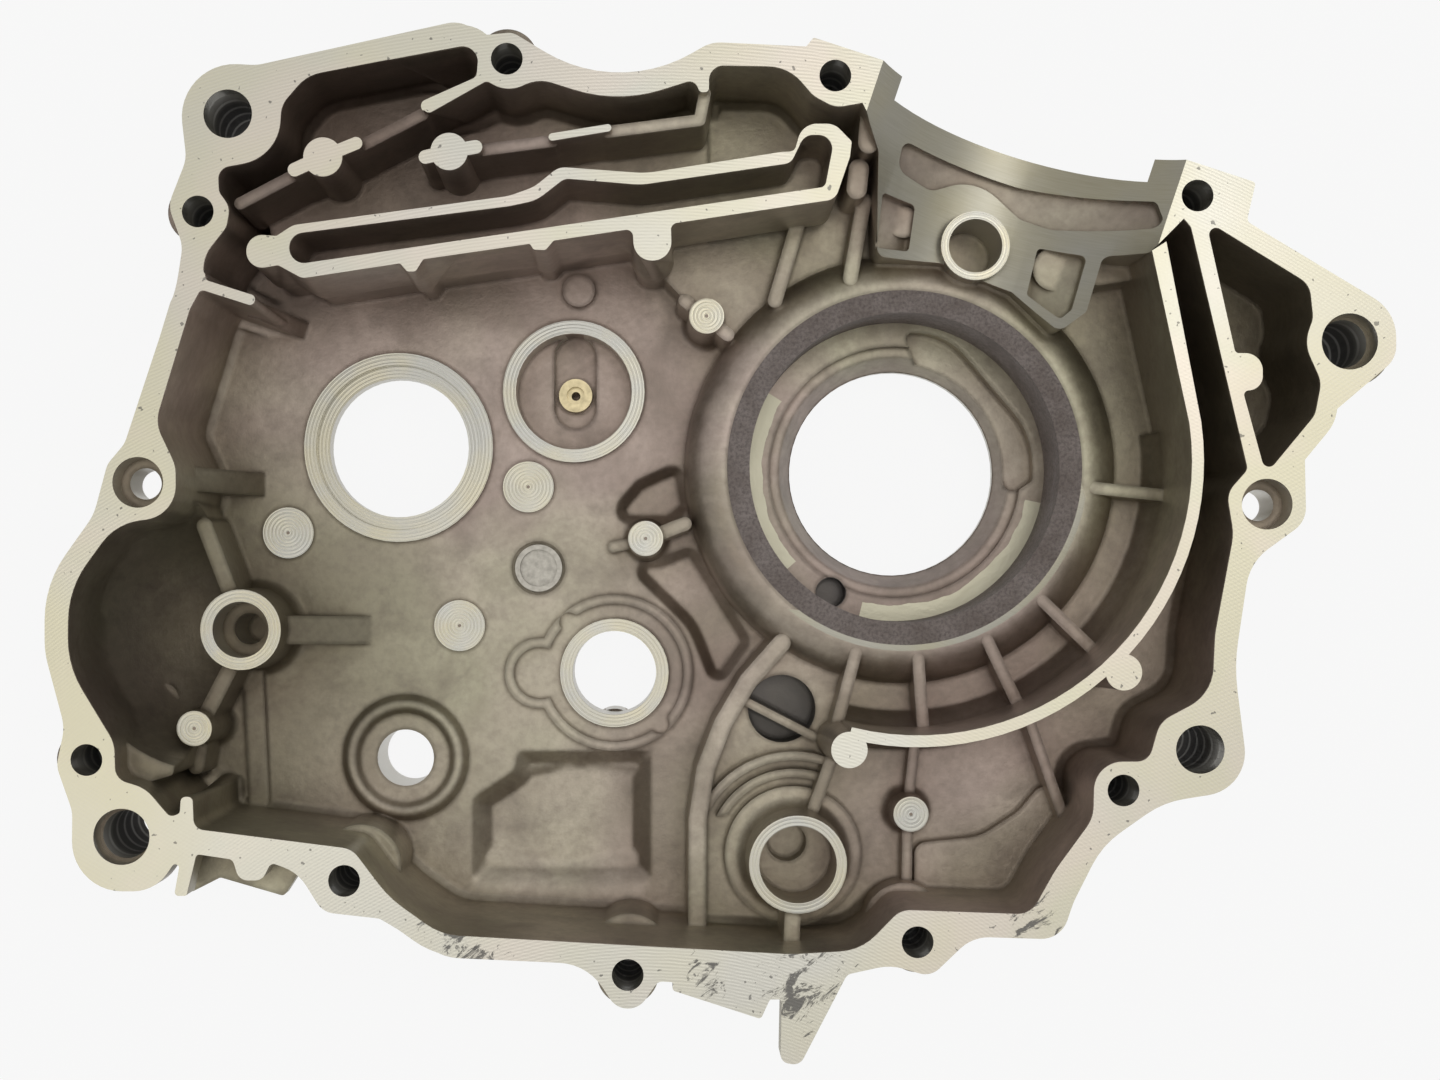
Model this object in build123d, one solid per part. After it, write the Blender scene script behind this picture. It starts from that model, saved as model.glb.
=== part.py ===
"""Left crankcase half of a small single-cylinder engine, lying on its outer side.

All lengths are millimetres. The crank axis is X = Y = 0 and Z points out of the mating face.
The casting is drawn with its mating face at Z = 0 and is lifted at the end, so that Z = 0 is
the mouth of the main bearing seat. Levels are written as depths below the mating face.
"""
import os
from math import acos, atan2, cos, degrees, radians, sin, sqrt, tan

from build123d import *

# Levels of the casting, as depths below the mating face
RING_TOP = 22.0
FLANGE_LIP = 7.0
FLANGE_DEPTH = 16.0
BOLT_BOSS_R = 6.8
MOUNT_BOSS_R = 10.0
UPPER_FLOOR = 24.0
CRANK_FLOOR = 30.0
GEAR_FLOOR = 40.0
FLOOR_WALL = 6.0
SHELL_BOTTOM = GEAR_FLOOR + FLOOR_WALL
COVER_RIM_BOTTOM = 62.0
PAD_TOP = 20.0

# Wall, draft and root radius of the casting
SHELL_WALL = 4.5
DRAFT = 1.5
ROOT = 2.5

# Main bearing: cast-in iron ring, shoulder and crank opening
MAIN_SEAT_R = 36.0
IRON_RING_R = 41.2
MAIN_SEAT_LENGTH = 17.5
CRANK_HOLE_R = 25.0
CRANK_WEB_BOTTOM = 50.0
HUB_TOP_R = 42.6
HUB_FOOT_R = 50.5

# Shaft places in the gearbox, measured from the crank axis
MAIN_SHAFT = (-77.6, 19.4)
MAIN_SHAFT_SEAT_R = 14.0
MAIN_SHAFT_SEAT_LENGTH = 8.5
MAIN_SHAFT_COLLAR_R = 17.1
OUTPUT_SHAFT = (-119.9, 5.9)
OUTPUT_SEAT_R = 20.0
OUTPUT_SEAT_LENGTH = 15.0
OUTPUT_LIP_R = 16.8
OUTPUT_FACE_R = 22.8
OUTPUT_HUB_R = 27.0
DRUM = (-67.8, -48.5)
DRUM_BORE_R = 10.1
DRUM_FACE_R = 13.1
SHIFT_SHAFT = (-118.2, -69.0)
SHIFT_BORE_R = 6.8

# Cylinder spigot: a bore whose axis runs above this half's mating face
SPIGOT_ANGLE = 71.6
SPIGOT_R = 41.0
SPIGOT_RISE = 21.2

# Case bolts and their places
BOLT_R = 3.5
BOLTS = [
    (-158.5, 55.0),
    (-90.5, 88.6),
    (-18.2, 84.9),
    (61.5, 58.5),
    (45.2, -72.4),
    (-0.1, -105.8),
    (-63.9, -113.0),
    (-126.3, -92.3),
    (-183.0, -65.7),
]
DOWEL_R = 5.6
DOWEL_DEPTH = 6.5
DOWELS = [(76.8, -9.4), (-171.7, -4.6)]
MOUNT_R = 5.35
MOUNTS = [(-151.9, 76.5), (62.1, -63.4)]
LARGE_MOUNTS = [(95.0, 26.4), (-175.3, -82.6)]
LARGE_MOUNT_R = 6.2
LARGE_MOUNT_STEP = 4.5
MOUNT_LENGTH = 36.0
SWELL_BOLTS = BOLTS[5:8]
SWELL_R = 9.4
SWELL_TOP = 22.0

# Outer edge of the mating flange, clockwise from the upper rear mount: x, y, corner radius
FLANGE_EDGE = [
    (-163.5, 88.1, 11.6),
    (-145.5, 87.2, 10),
    (-101.0, 97.0, 7),
    (-95.5, 93.8, 4),
    (-89.2, 94.4, 4),
    (-66.0, 80.4, 32),
    (-45.5, 92.3, 8),
    (-24.6, 91.3, 0.6),
    (-23.0, 93.3, 0.6),
    (74.3, 61.4, 0.8),
    (72.3, 52.8, 1.5),
    (105.2, 33.0, 10),
    (105.2, 22.6, 6),
    (85.0, 5.4, 12),
    (85.4, -13.2, 6),
    (73.0, -22.2, 12),
    (69.6, -45.0, 40),
    (73.0, -72.0, 9.5),
    (54.0, -75.0, 20),
    (40.5, -84.5, 20),
    (34.2, -97.0, 20),
    (31.4, -105.2, 6),
    (12.0, -104.6, 9),
    (2.8, -113.4, 4.5),
    (-6.0, -110.8, 12),
    (-15.6, -112.9, 2),
    (-26.0, -132.9, 2.5),
    (-30.3, -132.2, 2),
    (-30.0, -118.4, 0.6),
    (-32.6, -118.4, 0.6),
    (-34.6, -122.7, 0.8),
    (-54.4, -116.3, 1),
    (-53.6, -114.6, 0.6),
    (-57.2, -114.4, 2),
    (-61.4, -120.4, 5),
    (-66.4, -120.4, 5),
    (-72.8, -110.6, 12),
    (-104.0, -109.2, 12),
    (-118.5, -100.6, 3),
    (-131.0, -99.2, 5),
    (-136.5, -90.4, 10),
    (-142.4, -88.3, 1.2),
    (-144.4, -92.2, 2.4),
    (-149.4, -92.2, 2.6),
    (-150.8, -87.6, 1.6),
    (-158.8, -86.4, 0.8),
    (-161.0, -95.6, 0.5),
    (-163.7, -95.6, 0.8),
    (-162.0, -86.0, 0.8),
    (-168.0, -94.6, 9),
    (-186.3, -94.6, 11),
    (-186.1, -77.0, 8),
    (-189.6, -67.0, 6),
    (-187.8, -58.5, 10),
    (-192.2, -42.0, 20),
    (-192.2, -27.0, 25),
    (-181.4, -11.8, 12),
    (-178.4, -0.6, 5),
    (-174.6, 3.9, 6),
    (-163.2, 38.5, 30),
    (-161.8, 47.5, 8),
    (-165.0, 56.3, 6),
    (-161.0, 66.5, 8),
]

# Inner edge of the mating face, clockwise from the rear end of the cylinder deck
CAVITY_EDGE = [
    (-11.5, 79.1, 0.4),
    (-18.2, 77.9, 5.5),
    (-23.0, 80.5, 6),
    (-28.5, 86.9, 10),
    (-46.0, 87.2, 3),
    (-46.0, 81.3, 0.9),
    (-48.0, 81.3, 0.9),
    (-49.2, 84.1, 2),
    (-66.0, 78.8, 32),
    (-83.5, 84.3, 8),
    (-90.5, 81.2, 7),
    (-94.9, 83.8, 1.5),
    (-108.2, 76.3, 1.3),
    (-110.4, 78.8, 1.5),
    (-96.7, 84.9, 1.5),
    (-97.0, 92.2, 3.5),
    (-134.5, 85.0, 9),
    (-140.1, 78.5, 6),
    (-140.9, 67.0, 10),
    (-154.1, 64.5, 2.8),
    (-153.9, 59.3, 2.5),
    (-151.5, 56.0, 4),
    (-152.2, 51.6, 4),
    (-157.8, 44.5, 8),
    (-157.0, 40.0, 1),
    (-145.6, 36.4, 1.1),
    (-146.4, 34.2, 1.1),
    (-157.9, 37.9, 1),
    (-160.3, 33.5, 5),
    (-167.9, 8.5, 8),
    (-163.4, -1.0, 8),
    (-163.4, -12.0, 7.5),
    (-176.5, -13.6, 12),
    (-187.0, -28.0, 22),
    (-187.2, -45.0, 22),
    (-176.9, -62.0, 8),
    (-176.7, -69.9, 3.5),
    (-170.0, -72.0, 8),
    (-164.6, -78.4, 1.5),
    (-162.5, -77.6, 1),
    (-162.3, -73.8, 1.1),
    (-159.7, -73.8, 1.1),
    (-159.4, -80.9, 2.5),
    (-124.6, -85.3, 5),
    (-116.5, -96.0, 25),
    (-105.0, -104.2, 14),
    (-28.0, -108.5, 30),
    (-12.5, -107.6, 12),
    (-3.8, -98.7, 5),
    (24.8, -99.7, 5),
    (30.2, -90.0, 30),
    (38.6, -78.5, 8),
    (38.9, -66.1, 6.3),
    (50.8, -66.1, 3.5),
    (53.3, -57.3, 6),
    (64.8, -51.2, 10),
    (65.4, -38.0, 20),
    (69.5, -16.0, 12),
    (68.0, -7.0, 5),
    (72.6, -1.8, 2),
    (60.1, 51.6, 2),
    (55.0, 57.6, 0.5),
]

# Lightening pocket beside the front mount
FRONT_POCKET = [
    (63.2, 53.2, 1.6),
    (86.2, 39.0, 5),
    (87.0, 31.5, 5),
    (85.0, 26.0, 8),
    (88.8, 17.5, 6),
    (87.4, 10.2, 5),
    (76.5, -3.0, 1.6),
    (71.4, 15.6, 1.3),
    (75.8, 15.8, 3.8),
    (75.8, 23.8, 3.8),
    (69.8, 23.8, 1),
]

# Closed wall of the oil gallery and its slot
GALLERY_EDGE = [
    (-147.8, 42.0, 4),
    (-147.8, 50.1, 4),
    (-141.2, 49.6, 0.8),
    (-137.5, 52.0, 4),
    (-90.0, 58.4, 15),
    (-84.5, 60.4, 8),
    (-79.0, 64.8, 4),
    (-60.0, 63.4, 20),
    (-30.0, 68.1, 1.2),
    (-27.2, 68.2, 1.5),
    (-25.4, 74.3, 4.2),
    (-18.4, 74.3, 4),
    (-14.6, 70.4, 0.8),
    (-15.0, 67.0, 1.2),
    (-18.2, 57.7, 3),
    (-54.4, 52.3, 1.5),
    (-54.2, 44.2, 4.1),
    (-62.4, 44.2, 4.1),
    (-62.8, 51.2, 1.5),
    (-80.2, 48.6, 0.8),
    (-82.0, 46.5, 1),
    (-84.6, 46.6, 0.9),
    (-85.4, 47.9, 0.6),
    (-108.9, 44.5, 0.8),
    (-110.6, 41.8, 0.8),
    (-112.4, 41.8, 0.8),
    (-114.0, 43.6, 0.7),
    (-135.5, 40.3, 3),
    (-140.8, 43.2, 1.2),
]
GALLERY_SLOT = [
    (-138.4, 43.1, 3.3),
    (-138.4, 50.0, 3.3),
    (-90.0, 56.2, 15),
    (-84.0, 57.5, 8),
    (-77.8, 62.3, 3),
    (-61.0, 60.9, 15),
    (-28.0, 65.7, 2.5),
    (-25.0, 71.9, 3.1),
    (-18.2, 71.9, 3.1),
    (-20.4, 60.4, 1.5),
]
GALLERY_DEPTH = 20.0

# Crank chamber wall, drawn from its foot beside the sump to its end at the spigot
CHAMBER_R = 60.3
CHAMBER_WALL = 2.6
WALL_ROOT_WIDTH = 4.5
WALL_ROOT_RISE = 8.0
CHAMBER_START = -104.0
CHAMBER_END = 8.0
CHAMBER_TIP = (51.5, 46.4)
CHAMBER_KNOBS = [(-15.1, -63.5), (45.3, -46.4)]
KNOB_R = 4.0
CHAMBER_RIBS = [-6.1, -44.0, -64.4, -85.9, -104.7]
RIB_WIDTH = 2.8

# Bulge of the hub flank, as shares of its spread and of its height
HUB_BULGE_OUT = 1.45
HUB_BULGE_DOWN = 0.36

# Jet and plug that are pressed into the casting
JET_R = 4.1
JET_HOLE_R = 1.1
JET_LENGTH = 6.0
JET_MOUTH_DEPTH = 2.0
JET_DRILL_DEPTH = 2.5
PLUG_R = 5.7
PLUG_AT = (-86.2, -23.2)
PLUG_GROOVE = 0.8
PLUG_WALL = 1.2
PLUG_LENGTH = 5.0
PLUG_DISH = 1.5

# Zones whose floors are raised above the gearbox floor, and the gearbox side of the gallery
UPPER_ZONE = [
    (-146.5, 46.0, 3),
    (-143.7, 44.0, 1),
    (-45.5, 57.0, 1),
    (-45.5, 100.0, 1),
    (-100.0, 110.0, 1),
    (-170.0, 90.0, 1),
    (-170.0, 58.0, 1),
    (-148.0, 58.0, 3),
]
CRANK_ZONE = [
    (-58.5, 48.0, 2),
    (-46.0, 34.9, 3),
    (-34.0, 26.0, 3),
    (-29.0, -40.0, 3),
    (-41.2, -58.5, 30),
    (-47.6, -80.0, 30),
    (-48.1, -120.0, 1),
    (120.0, -120.0, 1),
    (120.0, 60.0, 1),
    (0.0, 110.0, 1),
    (-50.0, 110.0, 1),
    (-50.0, 60.0, 1),
    (-58.5, 55.0, 1),
]
GEAR_SIDE = [
    (-160.0, 20.0, 1),
    (-160.0, 46.0, 1),
    (-143.7, 46.0, 1),
    (-45.5, 59.0, 1),
    (-45.5, 20.0, 1),
]

# Wall between the gearbox and the sump, with the ledge and the oil well beside it
SUMP_WALL = [
    (-28.4, -40.8),
    (-36.2, -49.6),
    (-42.2, -59.8),
    (-46.2, -70.4),
    (-48.0, -82.0),
    (-48.1, -106.0),
]
SUMP_WALL_TOP = 24.0
SUMP_WALL_WIDTH = 4.2
SUMP_LEDGE = [
    (3.0, -88.0, 3),
    (18.5, -86.4, 12),
    (27.5, -80.5, 8),
    (33.0, -74.0, 3),
    (55.0, -85.0, 1),
    (35.0, -112.0, 1),
    (3.0, -112.0, 1),
]
LEDGE_RISE = 2.5
OIL_WELL = (-28.0, -56.5)
OIL_WELL_R = 8.0
WELL_RIB = [(-37.0, -54.5), (-20.5, -63.0)]
WELL_RIB_RISE = 2.0

# Bracket under the lower rear edge of the flange
BRACKET = [
    (-164.1, -97.4, 1),
    (-162.0, -84.0, 1),
    (-137.0, -84.0, 1),
    (-138.9, -92.9, 1),
    (-142.0, -97.7, 1),
    (-156.4, -93.5, 1),
]
BRACKET_TOP = 12.0

# Cylinder spigot block with its cast pockets and stud pockets
SPIGOT_START = 40.0
SPIGOT_REACH = 120.0
SPIGOT_BLOCK = [
    (-12.5, 79.5, 1),
    (-7.8, 70.0, 3),
    (-7.4, 47.6, 2),
    (8.0, 47.0, 6),
    (24.2, 40.2, 2),
    (34.0, 30.4, 2),
    (39.4, 34.4, 2),
    (43.2, 47.0, 2),
    (51.3, 46.2, 1),
    (62.0, 57.0, 1),
    (62.0, 75.0, 1),
    (-12.5, 100.0, 1),
]
SPIGOT_POCKET = [
    (-1.6, 73.6, 2),
    (26.4, 64.2, 20),
    (53.5, 58.2, 2),
    (54.5, 51.5, 2),
    (33.0, 54.2, 10),
    (26.2, 57.0, 4),
    (16.2, 66.6, 11),
    (5.4, 63.0, 4),
    (-3.0, 67.0, 3),
]
POCKET_STEP = 1.8
STUD_POCKETS = [
    [(-6.4, 61.6, 0.8), (1.6, 59.6, 1.2), (0.2, 49.2, 1), (-7.6, 49.4, 0.8)],
    [(30.0, 50.2, 1), (40.2, 47.4, 1.5), (36.6, 35.2, 1.5), (34.2, 33.2, 1), (27.4, 39.4, 1)],
]
STUD_STEP = 3.0
STUD_ENDS = [(-0.9, 56.2, 3.6), (34.0, 45.4, 5.0)]
STUB_RISE = 0.8

# Breather tube, and oil screen tube with its shelves and port
BREATHER = (15.6, 50.6)
BREATHER_TOP = 17.0
BREATHER_R = 7.9
BREATHER_BORE_R = 6.15
BREATHER_DEPTH = 4.0
BREATHER_END = 2.0
SCREEN_TUBE = (-25.5, -90.6)
SCREEN_TUBE_TOP = 12.0
SCREEN_TUBE_R = 11.1
SCREEN_TUBE_FLARE = 5.0
SCREEN_BORE_R = 8.8
TUBE_FOOT = CRANK_FLOOR - 3
SCREEN_PORT = (-27.1, -87.5)
SCREEN_PORT_R = 4.6
SCREEN_PORT_DEPTH = 3.0
SHELVES = [(20.2, 3.0), (24.4, 5.0)]
SHELF_WIDTH = 2.0
SHELF_ZONE = [
    (-48.0, -82.0, 1),
    (-42.2, -59.8, 1),
    (-15.1, -63.5, 1),
    (-21.0, -79.5, 1),
]

# Dished rear corner of the gearbox
BOWL_CENTRE = (-158.0, -38.0)
BOWL_R = 31.0
BOWL_EDGE = [
    (-153.7, -37.6, 0.5),
    (-160.5, -22.0, 1),
    (-163.0, -8.0, 1),
    (-180.0, -5.0, 1),
    (-200.0, -20.0, 1),
    (-200.0, -60.0, 1),
    (-180.0, -74.0, 1),
    (-166.5, -70.0, 1),
    (-164.4, -60.4, 1),
]

# Rear boss with its stepped bore, and the foot flare of the large bosses
SPRING_BOSS = (-153.7, -37.6)
SPRING_BOSS_R = 9.3
SPRING_BOSS_LENGTH = 9.0
SPRING_BORE_R = 6.5
SPRING_BORE_DEPTH = 10.0
SPRING_PIN_R = 3.7
SPRING_PIN_DEPTH = 5.0
WIDE_FLARE = 2.4

# Pads that stand on the floors
SUPPORT_PADS = [(-46.0, 34.9), (-60.1, -16.5), (1.2, -80.2), (-164.4, -60.4)]
SUPPORT_PAD_R = 4.05
FLOOR_PADS = [(-146.6, -14.7), (-88.6, -3.6), (-105.2, -37.1)]
FLOOR_PAD_R = 6.15
FLOOR_PAD_RISE = 0.8

# Faces, rims and hubs around the gearbox shafts
COLLAR_RISE = 1.5
FACE_RISE = 1.2
OUTPUT_STEP = 0.4
DRUM_LOBE = (-85.8, -48.6)
DRUM_LOBE_R = 8.5
DRUM_RIDGE_R = 18.9
RIDGE_BAND = 2.2
DRUM_BITES = [(-78.7, -36.3), (-56.9, -60.8)]
DRUM_BITE_R = 2.4
SHIFT_LIP_RISE = 3.2
SHIFT_LIP_REACHES = (9.2, 6.1, 3.8)
CORE_STUB = (-76.3, 43.5)
CORE_STUB_R = 3.9
CORE_STUB_RISE = 3.0
OUTPUT_HUB_LENGTH = 20.0
MAIN_HUB_LENGTH = 18.0
DRUM_HUB_LENGTH = 10.0
SHIFT_HUB_LENGTH = 16.0
HUB_WALL = 6.0

# Ribs by their ends and width, then how far the top lies below the pads or above the floor
PAD_RIBS = [
    ((-51.0, 39.0), (-41.0, 31.0), 3.0, 3.0),
    (SUPPORT_PADS[1], (-51.0, -13.0), 3.2, 4.0),
    (SUPPORT_PADS[3], (-157.0, -46.0), 3.6, 5.0),
    (SUPPORT_PADS[3], (-166.0, -70.0), 3.6, 8.0),
    ((-162.8, -13.5), (-156.5, -30.0), 3.6, 3.0),
]
FLOOR_RIBS = [
    (SUPPORT_PADS[1], (-68.0, -18.2), 2.6, 4.0),
    ((-155.0, -48.0), (-153.5, -79.0), 5.0, 1.5),
    ((-174.5, -54.0), (-169.5, -66.0), 6.5, 8.0),
]
GUSSETS = [
    ((-147.0, -37.8), (-125.6, -38.3), 6.7, 8.0),
    ((-166.0, -3.0), (-152.0, -3.0), 5.5, -4.0),
    ((-152.0, 37.0), (-142.0, 34.0), 4.0, 2.0),
]

# Ribs of the crank side by their ends, width and the depth of their top
CRANK_RIBS = [
    ((3.0, -63.5), SUPPORT_PADS[2], 2.4, 26.0),
    (SUPPORT_PADS[2], (1.0, -99.5), 2.4, 26.0),
    ((29.0, -58.5), (37.2, -82.0), 2.4, 22.0),
    (CHAMBER_KNOBS[0], (-21.0, -79.5), 2.8, 24.0),
    ((-24.2, 58.5), (-30.0, 39.0), 3.4, 23.0),
    ((-9.4, 62.0), (-12.6, 44.0), 3.4, 22.0),
    ((-9.5, 78.0), (-10.0, 72.0), 4.6, 8.0),
    ((-11.5, 67.5), (-12.0, 63.0), 4.6, 14.0),
    ((44.5, 44.5), (51.0, 45.5), 5.0, 20.0),
    ((-26.5, -100.0), (-27.0, -110.0), 3.6, 13.0),
]

# Sunk panel in the gearbox floor, with the ledges along two of its sides
PANEL = [
    (-103.0, -78.5, 3),
    (-92.5, -71.5, 3),
    (-92.0, -66.8, 2),
    (-58.2, -66.6, 2),
    (-58.2, -100.0, 2),
    (-103.0, -100.0, 2),
]
PANEL_DEPTH = 4.0
PANEL_SLOPE = 50.0
PANEL_MARGIN = 3.0
PANEL_LEDGES = [
    [(-92.5, -66.0, 2), (-59.0, -65.6, 2), (-59.0, -72.4, 3), (-76.0, -70.4, 30), (-92.5, -72.4, 2)],
    [(-102.0, -101.0, 2), (-102.0, -92.5, 2), (-81.0, -96.4, 30), (-59.0, -92.5, 3), (-59.0, -101.0, 2)],
]
PANEL_LEDGE_RISE = 1.2
PANEL_LEDGE_SLOPE = 60.0

# Shallow trenches in the gearbox floor beside the hub
TRENCHES = [
    [
        (-63.0, -1.5, 4),
        (-51.0, 4.0, 4),
        (-48.5, -9.0, 3),
        (-54.0, -13.5, 3),
        (-67.0, -13.5, 4),
        (-68.5, -8.0, 4),
    ],
    [
        (-68.5, -20.5, 4),
        (-57.0, -20.0, 3),
        (-48.5, -16.5, 4),
        (-33.5, -41.0, 4),
        (-43.5, -55.5, 4),
        (-50.5, -38.0, 14),
    ],
]
TRENCH_DEPTH = 2.8
TRENCH_SLOPE = 45.0

# Side cover rim and its screws on the outer side
COVER_RIM = [
    (62.0, 62.0, 60),
    (62.0, -62.0, 60),
    (-20.0, -66.0, 60),
    (-88.0, -66.0, 22),
    (-88.0, -22.0, 22),
    (-52.0, 18.0, 30),
    (-46.0, 62.0, 40),
]
COVER_RIM_WALL = 6.0
COVER_BOSS_R = 6.0
COVER_SCREWS = [
    (-85.0, -30.0),
    (-68.0, -64.0),
    (0.0, -63.5),
    (55.0, -36.0),
    (56.0, 36.0),
    (-6.0, 60.5),
    (-50.0, 26.0),
]
COVER_SCREW_R = 2.5
COVER_SCREW_DEPTH = 14.0

# Shoulder under the iron ring, and the recesses in the web below it
HUB_SHOULDER_R = 30.4
HUB_STEP = 2.0
CONE_STEP = 1.5
CONE_SLOPE = 24.0
WEB_RECESS = [
    (27.5, -6.0, 2),
    (33.4, -2.0, 2),
    (33.4, 9.0, 20),
    (12.0, 34.0, 20),
    (2.0, 33.6, 2),
    (5.0, 26.8, 2),
    (24.0, 16.0, 20),
]
WEB_RECESS_DEPTH = 4.5
DRAIN = (-15.5, -29.1)
DRAIN_R = 3.6
DRAIN_DEPTH = 7.0

# Oil slot under the blind main shaft seat
SLOT_WIDTH = 10.4
SLOT_DEPTH = 4.5
SLOT_START = 3.2
SLOT_OVERRUN = 0.6

# Breather labyrinth: islands by their centre and ears, a level strip and lower ridges
ISLANDS = [
    [(-131.0, 67.0, 4.3), (-137.2, 64.2, 1.5), (-123.7, 70.0, 1.4)],
    [(-103.2, 68.2, 4.1), (-108.4, 67.0, 1.5), (-97.4, 69.2, 1.5)],
]
LEVEL_STRIP = [(-80.5, 71.4), (-68.3, 73.4)]
LEVEL_STRIP_WIDTH = 1.6
RIDGES = [
    [(-150.0, 57.5), (-137.2, 64.2)],
    [(-123.7, 70.0), (-109.5, 77.3)],
    [(-97.4, 69.2), (-80.5, 71.4)],
    [(-68.3, 73.4), (-48.0, 76.0)],
    [(-48.0, 76.0), (-46.8, 82.0)],
]
RIDGE_TOP = 3.5
RIDGE_WIDTH = 2.6


def rounded(corners):
    """Face inside a closed outline: straight runs joined by tangent arcs at each corner."""
    points = [Vector(x, y) for x, y, _ in corners]
    count = len(points)
    backs = [(points[k - 1] - points[k]).normalized() for k in range(count)]
    aheads = [(points[(k + 1) % count] - points[k]).normalized() for k in range(count)]
    halves = [acos(max(-1.0, min(1.0, backs[k].dot(aheads[k])))) / 2 for k in range(count)]
    wanted = [corners[k][2] / tan(halves[k]) for k in range(count)]
    runs = [(points[(k + 1) % count] - points[k]).length for k in range(count)]
    share = [min(1.0, 0.98 * runs[k] / (wanted[k] + wanted[(k + 1) % count])) for k in range(count)]
    edges = []
    ends = []
    for k in range(count):
        setback = wanted[k] * min(share[k], share[k - 1])
        radius = setback * tan(halves[k])
        reach = radius / sin(halves[k]) - radius
        start = points[k] + backs[k] * setback
        middle = points[k] + (backs[k] + aheads[k]).normalized() * reach
        end = points[k] + aheads[k] * setback
        edges.append(ThreePointArc(start, middle, end))
        ends.append((start, end))
    for k in range(count):
        edges.append(Line(ends[k][1], ends[(k + 1) % count][0]))
    return make_face(Wire(edges))


def disc(centre, radius):
    """Round face of the given radius about a centre."""
    return Pos(*centre) * Circle(radius)


def sunk(face, top, bottom, taper=0.0):
    """Solid under a face from one depth to another, narrowing downward by the taper."""
    return extrude(Pos(0, 0, -top) * face, amount=bottom - top, dir=(0, 0, -1), taper=taper)


def raised(face, top, bottom, taper=DRAFT):
    """Solid whose top is the face, widening downward by the taper."""
    return sunk(face, top, bottom, -taper)


def rod(centre, radius, top, bottom):
    """Plain cylinder between two depths."""
    return sunk(disc(centre, radius), top, bottom)


def strip(start, end, width):
    """Round-ended strip between two centres."""
    dx, dy = end[0] - start[0], end[1] - start[1]
    length = sqrt(dx * dx + dy * dy)
    middle = Pos((start[0] + end[0]) / 2, (start[1] + end[1]) / 2)
    return middle * Rot(0, 0, degrees(atan2(dy, dx))) * SlotCenterToCenter(length, width)


def rib(start, end, width, top, bottom=GEAR_FLOOR + 1):
    """Drafted rib with a rounded plan between two centres."""
    return raised(strip(start, end, width), top, bottom)


def gusset(start, end, width, top, bottom=GEAR_FLOOR):
    """Web that slopes from its top at the start down to the floor at the end."""
    dx, dy = end[0] - start[0], end[1] - start[1]
    length = sqrt(dx * dx + dy * dy)
    side = Polyline((0, -top), (3, -top), (length, -bottom - 0.6), (0, -bottom - 0.6), close=True)
    web = extrude(Plane.XZ * make_face(side), amount=width / 2, both=True)
    return Pos(start[0], start[1], 0) * Rot(0, 0, degrees(atan2(dy, dx))) * web


def boss(centre, radius, top, bottom, flare=1.6):
    """Turned boss with a curved foot that meets the floor."""
    profile = Polyline((0, -top), (radius, -top), (radius + 0.4, -bottom + 2 * flare))
    foot = ThreePointArc(
        (radius + 0.4, -bottom + 2 * flare),
        (radius + 0.4 + 0.3 * flare, -bottom + 0.6 * flare),
        (radius + 0.4 + flare, -bottom),
    )
    wide = radius + 0.4 + flare
    base = Polyline((wide, -bottom), (wide, -bottom - 1), (0, -bottom - 1), (0, -top))
    turned = revolve(Plane.XZ * make_face(Wire([*profile.edges(), foot, *base.edges()])), Axis.Z)
    return Pos(*centre) * turned


def on_ray(angle, radius):
    """Point at an angle and radius about the crank axis."""
    return (radius * cos(radians(angle)), radius * sin(radians(angle)))


def spigot_cut(radius):
    """Cylinder bore along the cylinder axis, open through the deck."""
    bore = extrude(Plane.YZ * Circle(radius), amount=SPIGOT_REACH)
    placed = Pos(SPIGOT_START, 0, SPIGOT_RISE) * bore
    return Rot(0, 0, SPIGOT_ANGLE) * placed


def inside_shell():
    """Solid filled out to the outside of the shell."""
    return sunk(offset(rounded(CAVITY_EDGE), SHELL_WALL), 0, SHELL_BOTTOM, DRAFT)


def outer_body():
    """Flange, bolt bosses and the shell that follows the cavity, before any hollow is cut."""
    body = sunk(rounded(FLANGE_EDGE), 0, FLANGE_LIP)
    body += inside_shell()
    for zone, floor in [(UPPER_ZONE, UPPER_FLOOR), (CRANK_ZONE, CRANK_FLOOR)]:
        relief = offset(rounded(zone), -SHELL_WALL)
        body -= sunk(relief, floor + FLOOR_WALL, SHELL_BOTTOM + 1)
    body += [rod(place, BOLT_BOSS_R, 1, SHELL_BOTTOM) for place in BOLTS]
    body += [rod(place, BOLT_BOSS_R, 1, FLANGE_DEPTH) for place in DOWELS]
    body += [rod(place, MOUNT_BOSS_R, 1, MOUNT_LENGTH) for place in MOUNTS + LARGE_MOUNTS]
    return body


def root_ring(floor):
    """Sloped root all round the cavity where its wall meets a floor."""
    slab = sunk(Rectangle(500, 400), floor - ROOT, floor + 1)
    return slab - sunk(rounded(CAVITY_EDGE), floor - ROOT, floor + 1, 45)


def cavity_core():
    """Core of the open inside: the cavity down to its three floor levels."""
    core = sunk(rounded(CAVITY_EDGE), -1, GEAR_FLOOR, DRAFT) - root_ring(GEAR_FLOOR)
    for zone, floor in [(UPPER_ZONE, UPPER_FLOOR), (CRANK_ZONE, CRANK_FLOOR)]:
        core -= raised(rounded(zone), floor, GEAR_FLOOR + 1)
        core -= root_ring(floor) & sunk(rounded(zone), floor - ROOT, floor + 1)
    return core


def wall_along(points, width, top, bottom):
    """Drafted walls along a run of straight pieces with round joints."""
    return [rib(points[k], points[k + 1], width, top, bottom) for k in range(len(points) - 1)]


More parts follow.
